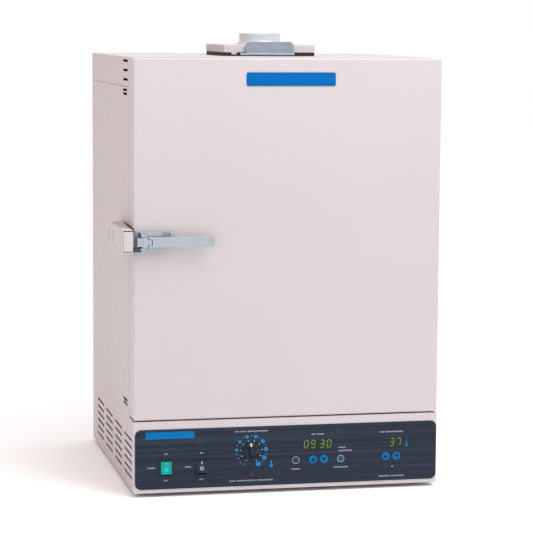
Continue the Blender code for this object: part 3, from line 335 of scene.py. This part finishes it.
FINISHES = {
    "door_paint": paint("door_powder_coat", DOOR_COLOUR),
    "body_paint": paint("body_powder_coat", BODY_COLOUR),
    "stainless": brushed("brushed_stainless", STEEL, "X"),
    "stainless_upright": brushed("brushed_stainless_upright", STEEL, "Z"),
    "die_cast": casting("die_cast_alloy", (0.37, 0.412, 0.455)),
    # black_steel and dark_steel also colour the latch's pads and plate, which paint shade
    "dark_steel": casting("dark_steel", (0.21, 0.26, 0.31)),
    "black_steel": casting("black_steel", (0.050, 0.066, 0.072)),
    "grey_sheet": spun("grey_sheet_metal", (0.27, 0.315, 0.38)),
    "pale_sheet": spun("pale_sheet_metal", (0.58, 0.62, 0.66)),
    "zinc": brushed("zinc_plate", (0.52, 0.53, 0.55), "Z", 0.34, 0.50),
    "overlay_film": film("overlay_film", (0.0165, 0.023, 0.039), 0.32, 0.14),
    "blue_film": film("blue_plate_film", (0.0012, 0.108, 0.352), 0.05, 0.04),
    "blue_label": film("blue_label_film", (0.002, 0.135, 0.385), 0.05, 0.04),
    "blue_cap": plastic("blue_key_cap", (0.003, 0.126, 0.305), Specular_IOR_Level=0.08),
    "black_plastic": plastic("black_moulding", (0.010, 0.015, 0.020), 0.24, 0.34, Specular_IOR_Level=0.32),
    "gloss_black": plastic("gloss_black_moulding", (0.001, 0.009, 0.019), 0.16, 0.20, Specular_IOR_Level=0.3),
    "blue_black_plastic": plastic("blue_black_moulding", (0.012, 0.025, 0.040), Specular_IOR_Level=0.18),
    "display_window": plastic("display_window", (0.013, 0.025, 0.021), Specular_IOR_Level=0.15),
    "green_lens": plastic("green_lens", (0.003, 0.275, 0.275), 0.20, 0.30, 0.00002, Specular_IOR_Level=0.10),
    "red_lens": plastic("red_lens", (0.060, 0.020, 0.022), 0.20, 0.30, 0.00002, Specular_IOR_Level=0.3),
    "lamp_green": plastic("green_lamp", (0.006, 0.035, 0.034), 0.20, 0.30, 0.00002, Specular_IOR_Level=0.3),
    "rubber": soft_rubber("black_rubber", (0.018, 0.020, 0.023)),
    "silicone": soft_rubber("grey_silicone", (0.055, 0.058, 0.065)),
    "glass_wool": glass_wool("glass_wool", (0.62, 0.52, 0.22)),
    "circuit_board": circuit("circuit_board", (0.012, 0.12, 0.05)),
    "bright_ink": printed("bright_ink", (0.80, 0.84, 0.88)),
    "white_ink": printed("white_ink", (0.42, 0.41, 0.46)),
    "switch_ink": printed("switch_ink", (0.50, 0.56, 0.62)),
    "caption_ink": printed("caption_ink", (0.34, 0.35, 0.41)),
    "blue_ink": printed("blue_ink", (0.004, 0.205, 0.53)),
    "faint_blue_ink": printed("faint_blue_ink", (0.008, 0.12, 0.31)),
    "dim_blue_ink": printed("dim_blue_ink", (0.012, 0.075, 0.13)),
    "sign_ink": printed("sign_ink", (0.012, 0.105, 0.24)),
    "dark_ink": printed("dark_ink", (0.006, 0.030, 0.070)),
    "lens_ink": printed("lens_ink", (0.06, 0.60, 0.56)),
    "digit_glow": printed("digit_glow", (0.135, 0.20, 0.062), 0.12),
    # A painted reflection on the heating lamp's lens, made to glow
    "painted_glint": printed("painted_glint", (0.20, 0.32, 0.33), 0.10),
}
OWN_FINISHES = {
    "door_inner_panel": "stainless_upright",
    "shelf_rack_left": "stainless_upright",
    "shelf_rack_right": "stainless_upright",
    "front_frame": "stainless_upright",
    "temperature_probe": "stainless_upright",
    "over_temp_probe": "stainless_upright",
    "base_front_panel": "door_paint",
    "vent_stack": "pale_sheet",
    "timer_rocker": "blue_black_plastic",
}


def finish_nodes():
    """Gives each CAD node its own finish, or the finish of its slot."""
    slots = {part["node"]: part["material_slot"] for part in frame["record"]["subparts"]}
    for name, item in NODES.items():
        item.data.materials.clear()
        item.data.materials.append(FINISHES[OWN_FINISHES.get(name, slots[name])])


def soften(name, width):
    """Rounds a CAD node's sharp edges."""
    item = NODES[name]
    weld = item.modifiers.new("weld", "WELD")
    weld.merge_threshold = 0.00002
    bevel = item.modifiers.new("edges", "BEVEL")
    bevel.width = width
    bevel.segments = 2
    bevel.limit_method = "ANGLE"
    bevel.angle_limit = math.radians(40)
    bevel.use_clamp_overlap = True


SOFT_EDGES = {
    "latch_base": 0.0009,
    "latch_lever": 0.0012,
    "nameplate": 0.0002,
    "latch_nose": 0.0007,
    "strike_bracket": 0.0006,
    "strike_plate": 0.0004,
    "damper_slide": 0.0003,
    "vent_cover": 0.0003,
    "top_cover": 0.0005,
    "left_side_panel": 0.0003,
    "right_side_panel": 0.0003,
    "base_front_panel": 0.0006,
    "power_switch_body": 0.0004,
    "timer_switch_body": 0.0004,
    "power_rocker": 0.0005,
    "timer_rocker": 0.0005,
    "power_inlet": 0.0004,
}


# ---------------------------------------------------------------- mesh helpers


def piece(name, bm, kind, body, smooth=False):
    """Makes an object of a bmesh, gives it a finish, and lets it ride on a body."""
    bmesh.ops.recalc_face_normals(bm, faces=bm.faces[:])
    mesh = bpy.data.meshes.new(name)
    bm.to_mesh(mesh)
    bm.free()
    mesh.materials.append(FINISHES[kind])
    if smooth:
        mesh.shade_smooth()
        mesh.set_sharp_from_angle(angle=math.radians(38))
    item = bpy.data.objects.new(name, mesh)
    bpy.context.scene.collection.objects.link(item)
    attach(item, body)
    return item


def add_rings(bm, rings, closed=False):
    """Bridges rings of points. A closed row joins its last ring to its first, and others are capped."""
    rows = [[bm.verts.new(point) for point in ring] for ring in rings]
    pairs = list(zip(rows, rows[1:]))
    if closed:
        pairs.append((rows[-1], rows[0]))
    else:
        bm.faces.new(rows[0])
        bm.faces.new(rows[-1])
    for one, two in pairs:
        for i in range(len(one)):
            j = (i + 1) % len(one)
            bm.faces.new((one[i], one[j], two[j], two[i]))


def circle(centre, radius, steps=24):
    turns = [2 * math.pi * i / steps for i in range(steps)]
    return [(centre[0] + radius * math.cos(t), centre[1] + radius * math.sin(t)) for t in turns]


def rectangle(centre, size, turn=0.0):
    """A rectangle about a centre, turned anticlockwise."""
    a, b = size[0] / 2, size[1] / 2
    cos, sin = math.cos(turn), math.sin(turn)
    corners = ((-a, -b), (a, -b), (a, b), (-a, b))
    return [(centre[0] + x * cos - z * sin, centre[1] + x * sin + z * cos) for x, z in corners]


class Surface:
    """Finds how far forward a CAD node's front is at a place (x, z)."""

    def __init__(self, name):
        mesh = NODES[name].data
        points = [vertex.co for vertex in mesh.vertices]
        self.tree = BVHTree.FromPolygons(points, [face.vertices for face in mesh.polygons])

    def at(self, x, z):
        hit = self.tree.ray_cast(Vector((x, cad_low.y - 0.1, z)), Vector((0, 1, 0)))
        return hit[0].y


class Print:
    """Thin raised marks on the front of a CAD node."""

    def __init__(self, node="panel_overlay", thickness=INK):
        self.bm = bmesh.new()
        self.thickness = thickness
        self.surface = Surface(node)

    def rings(self, loop):
        depth = [self.surface.at(x, z) for x, z in loop]
        back = [(x, y + SINK, z) for (x, z), y in zip(loop, depth)]
        face = [(x, y - self.thickness, z) for (x, z), y in zip(loop, depth)]
        return back, face

    def plate(self, outline):
        add_rings(self.bm, self.rings(outline))

    def band(self, outer, inner):
        outer_back, outer_face = self.rings(outer)
        inner_back, inner_face = self.rings(inner)
        add_rings(self.bm, [outer_back, outer_face, inner_face, inner_back], closed=True)

    def ring(self, centre, outer, inner, steps=28):
        self.band(circle(centre, outer, steps), circle(centre, inner, steps))

    def done(self, name, kind, body="cabinet", slot="overlay_film"):
        piece(name, self.bm, kind, body)


def add_tube(bm, path, radius, sides=10, closed=False):
    """A round rod along a path of points."""
    count = len(path)
    rings = []
    for i, point in enumerate(path):
        before = path[i - 1] if closed or i else point
        after = path[(i + 1) % count] if closed or i < count - 1 else point
        ahead = (after - before).normalized()
        side = ahead.orthogonal() if abs(ahead.z) > 0.9 else ahead.cross(Vector((0, 0, 1)))
        side.normalize()
        up = side.cross(ahead)
        turns = [2 * math.pi * k / sides for k in range(sides)]
        rings.append([point + radius * (side * math.cos(t) + up * math.sin(t)) for t in turns])
    add_rings(bm, rings, closed)


def add_screw(bm, centre, outward, radius, height):
    """A domed head with a cross recess, on a face whose normal is outward."""
    turn = Vector((0, 0, 1)).rotation_difference(Vector(outward)).to_matrix().to_4x4()
    place = Matrix.Translation(centre) @ turn
    steps = 24
    profile = ((1.0, -0.3), (1.0, 0.25), (0.92, 0.62), (0.70, 0.90), (0.52, 1.0))
    rings = []
    for share, rise in profile:
        ring = circle((0, 0), radius * share, steps)
        rings.append([place @ Vector((x, y, height * rise)) for x, y in ring])
    for depth in (1.0, 0.25):
        ring = []
        for k in range(steps):
            turn_at = 2 * math.pi * k / steps
            arm = max(abs(math.cos(turn_at)), abs(math.sin(turn_at))) > 0.97
            reach = radius * (0.46 if arm else 0.16)
            x, y = reach * math.cos(turn_at), reach * math.sin(turn_at)
            ring.append(place @ Vector((x, y, height * depth)))
        rings.append(ring)
    add_rings(bm, rings)


# ---------------------------------------------------------------- control panel


def dial_turn(i):
    """Clockwise angle from the top of the i-th dial dot."""
    return -DIAL_REACH + 2 * DIAL_REACH * i / (DIAL_DOTS - 1)


def dial_place(turn, radius):
    x, z = across(DIAL_CENTRE[0]), above(DIAL_CENTRE[1])
    return x + radius * math.sin(turn), z + radius * math.cos(turn)


def dial_marks():
    """Dots that grow clockwise round the dial, with ticks inside them and points between them."""
    faint, dots, ticks = Print(), Print(), Print()
    for i in range(DIAL_DOTS):
        turn = dial_turn(i)
        share = i / (DIAL_DOTS - 1)
        radius = DOT_RADII[0] + (DOT_RADII[1] - DOT_RADII[0]) * share
        (faint if i < FAINT_DOTS else dots).plate(circle(dial_place(turn, DIAL_RADIUS), radius))
        middle = (TICK_RADII[0] + TICK_RADII[1]) / 2
        size = (TICK_WIDTH, TICK_RADII[1] - TICK_RADII[0])
        ticks.plate(rectangle(dial_place(turn, middle), size, -turn))
        if i < DIAL_DOTS - 1:
            between = (turn + dial_turn(i + 1)) / 2
            ticks.plate(circle(dial_place(between, DIAL_RADIUS + 0.001), POINT_RADIUS, 10))
    faint.done("dial_faint_dots", "faint_blue_ink")
    dots.done("dial_dots", "blue_ink")
    ticks.done("dial_ticks", "white_ink")


def captions():
    """Rows of blank blocks where captions stand, in groups for words."""
    blocks = Print()
    for x, z, words in CAPTIONS:
        places = sum(words) + len(words) - 1
        place = x - LETTER_PITCH * (places - 1) / 2
        for letters in words:
            for _ in range(letters):
                blocks.plate(rectangle((across(place), above(z)), LETTER))
                place += LETTER_PITCH
            place += LETTER_PITCH
    blocks.done("caption_blocks", "caption_ink")


def thermometer(marks, x, low, high, radius):
    """A bulb with a narrow stem above it."""
    marks.plate(circle((across(x), above(low + radius)), radius, 16))
    start = low + 1.8 * radius
    marks.plate(rectangle((across(x), above((start + high) / 2)), (radius * 0.75, high - start)))


def wave(marks, x, z, length, rise, stroke):
    """One period of a sine, drawn as short strokes."""
    steps = 12
    places = []
    for k in range(steps + 1):
        share = k / steps
        height = z + rise * math.sin(2 * math.pi * share)
        places.append((across(x + length * (share - 0.5)), above(height)))
    for (x0, z0), (x1, z1) in zip(places, places[1:]):
        middle = ((x0 + x1) / 2, (z0 + z1) / 2)
        size = (math.hypot(x1 - x0, z1 - z0) + stroke / 2, stroke)
        marks.plate(rectangle(middle, size, math.atan2(z1 - z0, x1 - x0)))


def clock(marks, x, z):
    """A clock face with two hands."""
    centre = (across(x), above(z))
    marks.ring(centre, *CLOCK_RADII)
    marks.plate(rectangle((centre[0], centre[1] + 0.0016), (HAND_WIDTH, 0.0036)))
    marks.plate(rectangle((centre[0] + 0.0012, centre[1]), (0.0030, HAND_WIDTH)))


def symbols():
    """Thermometers, clocks and waves, and the dim upper stem of the second thermometer."""
    bright, dim = Print(), Print()
    for sizes in THERMOMETERS:
        thermometer(bright, *sizes)
    x, z = STEM_CENTRE
    dim.plate(rectangle((across(x), above(z)), STEM))
    for x, z in CLOCKS:
        clock(dim, x, z)
    for sizes in WAVES:
        wave(dim, *sizes)
    bright.done("bright_symbols", "blue_ink")
    dim.done("dim_symbols", "dim_blue_ink")


def label():
    """A blank label in the panel's upper left corner."""
    x, z = LABEL_CENTRE
    film_label = Print(thickness=LABEL_THICKNESS)
    film_label.plate(rectangle((across(x), above(z)), LABEL))
    film_label.done("panel_label", "blue_label", slot="blue_film")


def segment_outlines(width, height):
    """The seven bars of a digit that stands on the origin."""
    half = SEGMENT_WIDTH / 2
    middle = height / 2

    def level(z):
        start, end = half + SEGMENT_GAP, width - half - SEGMENT_GAP
        under = [(start, z), (start + half, z - half), (end - half, z - half)]
        return under + [(end, z), (end - half, z + half), (start + half, z + half)]

    def upright(x, low, high):
        start, end = low + SEGMENT_GAP, high - SEGMENT_GAP
        right = [(x, start), (x + half, start + half), (x + half, end - half)]
        return right + [(x, end), (x - half, end - half), (x - half, start + half)]

    return {
        "a": level(height - half),
        "g": level(middle),
        "d": level(half),
        "f": upright(half, middle, height - half),
        "b": upright(width - half, middle, height - half),
        "e": upright(half, half, middle),
        "c": upright(width - half, half, middle),
    }


def readouts():
    """Lit digits, each row on a dark window in the film."""
    width, height = DIGIT
    outlines = segment_outlines(width, height)
    for name, (left, low, text) in READOUTS.items():
        digits, window = Print(thickness=0.0002), Print(thickness=0.00004)
        x = left
        for character in text:
            for segment in LIT.get(character, ""):
                slanted = [(across(x + a + b * DIGIT_SLANT), above(low + b)) for a, b in outlines[segment]]
                digits.plate(slanted)
            x += SPACE_WIDTH if character == " " else width + DIGIT_GAP
        right = x - DIGIT_GAP + height * DIGIT_SLANT
        centre = (across((left + right) / 2), above(low + height / 2))
        window.plate(rectangle(centre, (right - left + 2 * WINDOW_MARGIN, height + 2 * WINDOW_MARGIN)))
        window.done(f"{name}_window", "display_window", slot="display_window")
        digits.done(f"{name}_digits", "digit_glow", slot="display_window")


def front_centre(node):
    low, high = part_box(node)
    return (low.x + high.x) / 2, (low.z + high.z) / 2


def lamp_glint():
    """A painted highlight on the heating lamp: a small glowing dot for the reflection on its lens."""
    glint = Print("heating_lamp")
    glint.plate(circle(front_centre("heating_lamp"), LAMP_GLINT_RADIUS, 16))
    glint.done("heating_lamp_glint", "painted_glint", slot="lamp_green")


def key_marks():
    """Rings and signs on the two round keys, and arrows on the four blue ones."""
    for node, (outer, inner, steps) in KEY_SIGNS.items():
        centre = front_centre(node)
        ring, sign = Print(node), Print(node)
        ring.ring(centre, *KEY_RING_RADII)
        sign.ring(centre, outer, inner, steps)
        ring.done(f"{node}_ring", "white_ink", f"{node}_body")
        sign.done(f"{node}_sign", "sign_ink", f"{node}_body")
    arrow_keys = [f"{group}_{way}_button" for group in ("timer", "temperature") for way in ("up", "down")]
    for node in arrow_keys:
        x, z = front_centre(node)
        way = 1 if "_up_" in node else -1
        foot, tip = z - way * ARROW_FOOT, z + way * ARROW_TIP
        arrow = Print(node)
        arrow.plate([(x - ARROW_HALF_WIDTH, foot), (x + ARROW_HALF_WIDTH, foot), (x, tip)])
        arrow.done(f"{node}_arrow", "dark_ink", f"{node}_body")


def rocker_marks():
    """The line and circle of an on-off switch."""
    for node, kind in (("timer_rocker", "switch_ink"), ("power_rocker", "lens_ink")):
        x, middle = front_centre(node)
        marks = Print(node)
        marks.plate(rectangle((x, middle + ON_LINE_RISE), ON_LINE))
        marks.ring((x, middle - OFF_CIRCLE_DROP), *OFF_CIRCLE_RADII)
        marks.done(f"{node}_marks", kind, f"{node}_body", "black_plastic")


def dial_knob():
    """A skirted knob whose domed shoulder carries a raised grip bar in line with the pointer."""
    low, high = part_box("over_temp_knob")
    x, z = (low.x + high.x) / 2, (low.z + high.z) / 2
    radius = (high.x - low.x) / 2
    base = OVERLAY_FACE - 0.0006
    top = low.y
    # Each ring's reach from the axis, its depth, and the half width of the grip bar where there is one
    profile = [
        (radius - 0.0005, base, None),
        (radius, base - 0.0005, None),
        (radius, base - 0.0016, None),
        (radius - 0.0006, base - 0.0024, None),
        (radius - 0.0018, base - 0.0030, None),
        (radius - 0.0036, base - 0.0046, 0.0140),
        (radius - 0.0050, base - 0.0060, 0.0118),
        (radius - 0.0058, base - 0.0074, 0.0090),
        (radius - 0.0062, base - 0.0084, 0.0060),
        (radius - 0.0068, top + 0.0010, 0.0046),
        (radius - 0.0074, top + 0.0002, 0.0040),
        (radius - 0.0084, top, 0.0030),
    ]
    rings = []
    for reach, y, bar in profile:
        ring = []
        for k in range(KNOB_STEPS):
            turn = 2 * math.pi * k / KNOB_STEPS
            across_bar = abs(math.sin(turn))
            far = reach if bar is None else (reach**-6 + (across_bar / bar) ** 6) ** (-1 / 6)
            angle = turn + POINTER_TURN
            ring.append((x + far * math.sin(angle), y, z + far * math.cos(angle)))
        rings.append(ring)
    bm = bmesh.new()
    add_rings(bm, rings)
    knob = piece("dial_knob", bm, "gloss_black", "over_temp_knob_body", smooth=True)
    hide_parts("over_temp_knob")

    knob_pointer(Vector((x, 0, z)), radius, base, top)


def knob_pointer(centre, radius, base, top):
    """A white line down the end of the grip bar and over the skirt."""
    outward = Vector((math.sin(POINTER_TURN), 0, math.cos(POINTER_TURN)))
    aside = Vector((math.cos(POINTER_TURN), 0, -math.sin(POINTER_TURN)))
    forward = Vector((0, -1, 0))
    # Reach from the axis, depth, and half the line's width
    stations = (
        (radius - 0.0070, top + 0.0024, 0.0012),
        (radius - 0.0060, base - 0.0078, 0.0012),
        (radius - 0.0048, base - 0.0058, 0.0011),
        (radius - 0.0034, base - 0.0044, 0.0010),
        (radius - 0.0020, base - 0.0032, 0.0008),
    )
    rings = []
    for reach, y, half in stations:
        middle = centre + outward * reach + Vector((0, y, 0))
        raised = (outward + forward) * 0.0003
        sunk = (outward + forward) * -0.0008
        corners = ((-half, raised), (half, raised), (half, sunk), (-half, sunk))
        rings.append([middle + aside * offset + lift for offset, lift in corners])
    bm = bmesh.new()
    add_rings(bm, rings)
    piece("dial_pointer", bm, "bright_ink", "over_temp_knob_body")


# ---------------------------------------------------------------- latch and strike

# How far out from the door's face the latch's dark pads, which paint shade, start and end
PADS_BACK = 0.0040
WEDGE_OUT = 0.0150
BLOCK_OUT = 0.0125


def add_prism(bm, outline, near, far):
    """A prism along Y between two depths, from an outline in X and Z."""
    add_rings(bm, [[(x, far, z) for x, z in outline], [(x, near, z) for x, z in outline]])


def latch_shade_pads():
    """Dark pads that paint the shade beside the nose's pin: a wedge above the nose, and a block below and
    behind it.
    """
    low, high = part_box("latch_base")
    middle = (low.z + high.z) / 2
    wedge = [
        (across(0.0078), middle + 0.0103),
        (across(0.0136), middle + 0.0103),
        (across(0.0112), middle + 0.0176),
        (across(0.0102), middle + 0.0176),
    ]
    block = [
        (across(-0.0010), middle - 0.0183),
        (across(0.0132), middle - 0.0183),
        (across(0.0126), middle - 0.0112),
        (across(-0.0010), middle - 0.0112),
    ]
    bm = bmesh.new()
    add_prism(bm, wedge, FRONT - WEDGE_OUT, FRONT - PADS_BACK)
    add_prism(bm, block, FRONT - BLOCK_OUT, FRONT - PADS_BACK)
    piece("latch_shade_pads", bm, "black_steel", "door")

    # A dark plate at the door's corner paints the shade in the gap between the strike and the latch.
    start, end = across(-0.0014), across(0.0046)
    bottom, top = middle - 0.0110, middle + 0.0172
    side = [(start, bottom), (end, bottom), (end, top), (start, top)]
    bm = bmesh.new()
    add_prism(bm, side, FRONT - 0.0030, FRONT - 0.0004)
    piece("latch_shade_plate", bm, "dark_steel", "door")


def strike_shade_strip():
    """A black strip along the strike's inner top edge, beside the door and the side panel, that paints the
    shade in the gap there.
    """
    low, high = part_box("strike_bracket")
    rings = []
    # Depth, width, and height of the strip's top
    stations = (
        (low.y + 0.0006, 0.0046, high.z - 0.0028),
        (low.y + 0.0700, 0.0040, high.z + 0.0004),
        (low.y + 0.1400, 0.0016, high.z + 0.0002),
    )
    for y, width, top in stations:
        corners = ((-width, -0.0030), (-0.0006, -0.0030), (-0.0006, 0.0), (-width, 0.0))
        rings.append([(LEFT + x, y, top + z) for x, z in corners])
    bm = bmesh.new()
    add_rings(bm, rings)
    piece("strike_shade_strip", bm, "rubber", "cabinet")


# ---------------------------------------------------------------- chamber


def rounded_loop(low, high, z, radius, steps=5):
    """A level rectangle with rounded corners, as points."""
    points = []
    middles = (
        (high.x - radius, high.y - radius),
        (low.x + radius, high.y - radius),
        (low.x + radius, low.y + radius),
        (high.x - radius, low.y + radius),
    )
    for corner, (x, y) in enumerate(middles):
        for step in range(steps + 1):
            turn = math.pi / 2 * (corner + step / steps)
            points.append(Vector((x + radius * math.cos(turn), y + radius * math.sin(turn), z)))
    return points


def wire_shelf(name):
    """A rod bent round the shelf's rim, with thin wires from front to back on it."""
    low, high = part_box(name)
    inset = Vector((ROD_RADIUS, ROD_RADIUS, 0))
    z = low.z + ROD_RADIUS
    bm = bmesh.new()
    rim = rounded_loop(low + inset, high - inset, z, SHELF_CORNER)
    add_tube(bm, rim, ROD_RADIUS, 12, closed=True)
    for i in range(WIRE_COUNT):
        x = low.x + (high.x - low.x) * (i + 1) / (WIRE_COUNT + 1)
        level = z + WIRE_RADIUS * 0.6
        start, end = Vector((x, low.y + 0.002, level)), Vector((x, high.y - 0.002, level))
        add_tube(bm, [start, end], WIRE_RADIUS, 8)
    shelf = piece(f"{name}_wires", bm, "stainless", "cabinet", smooth=True)
    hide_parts(name)


def wire_rack(name, way):
    """Two posts against a wall, and rails that carry the shelves."""
    low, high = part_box(name)
    post = (high.x if way > 0 else low.x) - way * ROD_RADIUS
    rail = post - way * (2 * ROD_RADIUS - 0.001)
    bm = bmesh.new()
    for y in (low.y + POST_INSET + ROD_RADIUS, high.y - POST_INSET - ROD_RADIUS):
        add_tube(bm, [Vector((post, y, low.z)), Vector((post, y, high.z))], ROD_RADIUS)
    for i in range(RAIL_COUNT):
        z = low.z + LOWEST_RAIL + ROD_RADIUS + RAIL_PITCH * i
        start, end = Vector((rail, low.y, z)), Vector((rail, high.y, z))
        add_tube(bm, [start, end], ROD_RADIUS)
    rack = piece(f"{name}_rods", bm, "stainless_upright", "cabinet", smooth=True)
    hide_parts(name)


# ---------------------------------------------------------------- fasteners

# Radius and height of the screw heads
HINGE_HEAD = (0.0034, 0.0016)
LATCH_HEAD = (0.0027, 0.0014)
REAR_HEAD = (0.0032, 0.0016)
INLET_HEAD = (0.0024, 0.0012)
LEAF_GAP = 0.0003
LEAF_THICKNESS = 0.0018
LEAF_MARGIN = 0.009
REAR_MARGIN = 0.008


def screws():
    """Screws of the hinges, the latch, the rear panel and the power inlet."""
    for place in ("upper", "lower"):
        for leaf, body in (("body", "cabinet"), ("door", "door")):
            low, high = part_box(f"hinge_{place}_{leaf}_leaf")
            y = high.y - LEAF_MARGIN if leaf == "body" else low.y + LEAF_MARGIN
            face = RIGHT + LEAF_GAP + LEAF_THICKNESS
            bm = bmesh.new()
            for share in (0.15, 0.5, 0.85):
                z = low.z + (high.z - low.z) * share
                add_screw(bm, (face, y, z), (1, 0, 0), *HINGE_HEAD)
            piece(f"hinge_{place}_{leaf}_screws", bm, "zinc", body, smooth=True)

    low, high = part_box("latch_base")
    bm = bmesh.new()
    add_screw(bm, (across(0.0608), FRONT - 0.0054, high.z - 0.0045), (0, -1, 0), *LATCH_HEAD)
    piece("latch_screw", bm, "zinc", "door", smooth=True)

    low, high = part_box("back_panel")
    bm = bmesh.new()
    for x in (low.x + REAR_MARGIN, high.x - REAR_MARGIN):
        for k in range(5):
            z = low.z + 0.020 + (high.z - low.z - 0.040) * k / 4
            add_screw(bm, (x, high.y, z), (0, 1, 0), *REAR_HEAD)
    for z in (low.z + REAR_MARGIN, high.z - REAR_MARGIN):
        for x in (-0.15, 0.0, 0.15):
            add_screw(bm, (x, high.y, z), (0, 1, 0), *REAR_HEAD)
    piece("rear_screws", bm, "zinc", "cabinet", smooth=True)

    low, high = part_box("power_inlet")
    bm = bmesh.new()
    middle = (low.z + high.z) / 2
    for x in (low.x + 0.0050, high.x - 0.0050):
        add_screw(bm, (x, high.y, middle), (0, 1, 0), *INLET_HEAD)
    piece("inlet_screws", bm, "zinc", "cabinet", smooth=True)


# ---------------------------------------------------------------- studio

FLOOR_RADIUS = 14.0
WARM_SIDE = (0.82, 0.66, 0.62, 1)
WARM_TO_WHITE = (-0.9, -0.05)
AIM_HEIGHT = 0.42
KEY_PLACE = (0.45, -1.05, 2.15)
FILL_PLACE = (-2.4, -3.0, 2.0)
OVERHEAD_PLACE = (0.4, -1.2, 3.4)

FOCAL_LENGTH = 143.9
CAMERA_FROM_LEFT = -0.5947
CAMERA_OUT = 3.9558
CAMERA_HEIGHT = 0.8926
CAMERA_FORWARD = (0.20906, 0.97137, -0.11291)
CAMERA_RIGHT = (0.97761, -0.21041, 0)
CAMERA_ROLL = math.radians(0.351)


def studio():
    """A pale floor, a white surround that is dimmer and warmer on the left, and three soft lights."""
    bm = bmesh.new()
    bmesh.ops.create_circle(bm, cap_ends=True, segments=96, radius=FLOOR_RADIUS)
    mesh = bpy.data.meshes.new("floor")
    bm.to_mesh(mesh)
    bm.free()
    finish = Finish("floor_paint", Specular_IOR_Level=0.1)
    finish.colour(finish.noise(0.8, 2.0), (0.96, 0.96, 0.96), (0.97, 0.97, 0.97))
    finish.roughness(finish.noise(20.0), 0.8, 0.9)
    mesh.materials.append(finish.material)
    floor = bpy.data.objects.new("floor", mesh)
    bpy.context.scene.collection.objects.link(floor)

    world = bpy.data.worlds.new("surround")
    world.use_nodes = True
    nodes, links = world.node_tree.nodes, world.node_tree.links
    background = nodes["Background"]
    place = nodes.new("ShaderNodeTexCoord")
    split = nodes.new("ShaderNodeSeparateXYZ")
    ramp = nodes.new("ShaderNodeValToRGB")
    links.new(place.outputs["Generated"], split.inputs["Vector"])
    spread = nodes.new("ShaderNodeMapRange")
    spread.inputs["From Min"].default_value = WARM_TO_WHITE[0]
    spread.inputs["From Max"].default_value = WARM_TO_WHITE[1]
    links.new(split.outputs["X"], spread.inputs["Value"])
    links.new(spread.outputs["Result"], ramp.inputs["Fac"])
    links.new(ramp.outputs["Color"], background.inputs["Color"])
    ramp.color_ramp.elements[0].color = WARM_SIDE
    ramp.color_ramp.elements[1].color = (1.0, 1.0, 1.0, 1)
    background.inputs["Strength"].default_value = 1.0
    bpy.context.scene.world = world

    target = Vector((0, FRONT, AIM_HEIGHT))
    key = bpy.data.lights.new("key", "AREA")
    key.energy = 24.0
    key.size = 1.0
    fill = bpy.data.lights.new("fill", "AREA")
    fill.energy = 9.0
    fill.size = 0.7
    overhead = bpy.data.lights.new("overhead", "SUN")
    overhead.energy = 0.60
    overhead.angle = math.radians(70)
    places = ((key, KEY_PLACE), (fill, FILL_PLACE), (overhead, OVERHEAD_PLACE))
    for light, place_at in places:
        lamp = bpy.data.objects.new(light.name, light)
        lamp.location = place_at
        lamp.rotation_mode = "QUATERNION"
        lamp.rotation_quaternion = (target - lamp.location).to_track_quat("-Z", "Y")
        bpy.context.scene.collection.objects.link(lamp)


def camera():
    """Left of the object and a little above it, looking at it with a long lens."""
    lens = bpy.data.cameras.new("camera")
    lens.lens = FOCAL_LENGTH
    lens.sensor_width = 36
    item = bpy.data.objects.new("camera", lens)
    bpy.context.scene.collection.objects.link(item)
    forward = Vector(CAMERA_FORWARD).normalized()
    right = Vector(CAMERA_RIGHT).normalized()
    up = right.cross(forward)
    level = right * math.cos(CAMERA_ROLL) + up * math.sin(CAMERA_ROLL)
    upright = up * math.cos(CAMERA_ROLL) - right * math.sin(CAMERA_ROLL)
    turn = Matrix((level, upright, -forward)).transposed().to_4x4()
    place = (across(CAMERA_FROM_LEFT), FRONT - CAMERA_OUT, above(CAMERA_HEIGHT))
    item.matrix_world = Matrix.Translation(place) @ turn
    bpy.context.scene.camera = item


def build():
    finish_nodes()
    for name, width in SOFT_EDGES.items():
        soften(name, width)
    dial_marks()
    captions()
    symbols()
    label()
    readouts()
    key_marks()
    rocker_marks()
    lamp_glint()
    dial_knob()
    latch_shade_pads()
    strike_shade_strip()
    for name in ("shelf_lower", "shelf_upper"):
        wire_shelf(name)
    wire_rack("shelf_rack_left", -1)
    wire_rack("shelf_rack_right", 1)
    screws()
    studio()
    camera()
    bpy.context.scene.view_settings.view_transform = "Standard"


build()
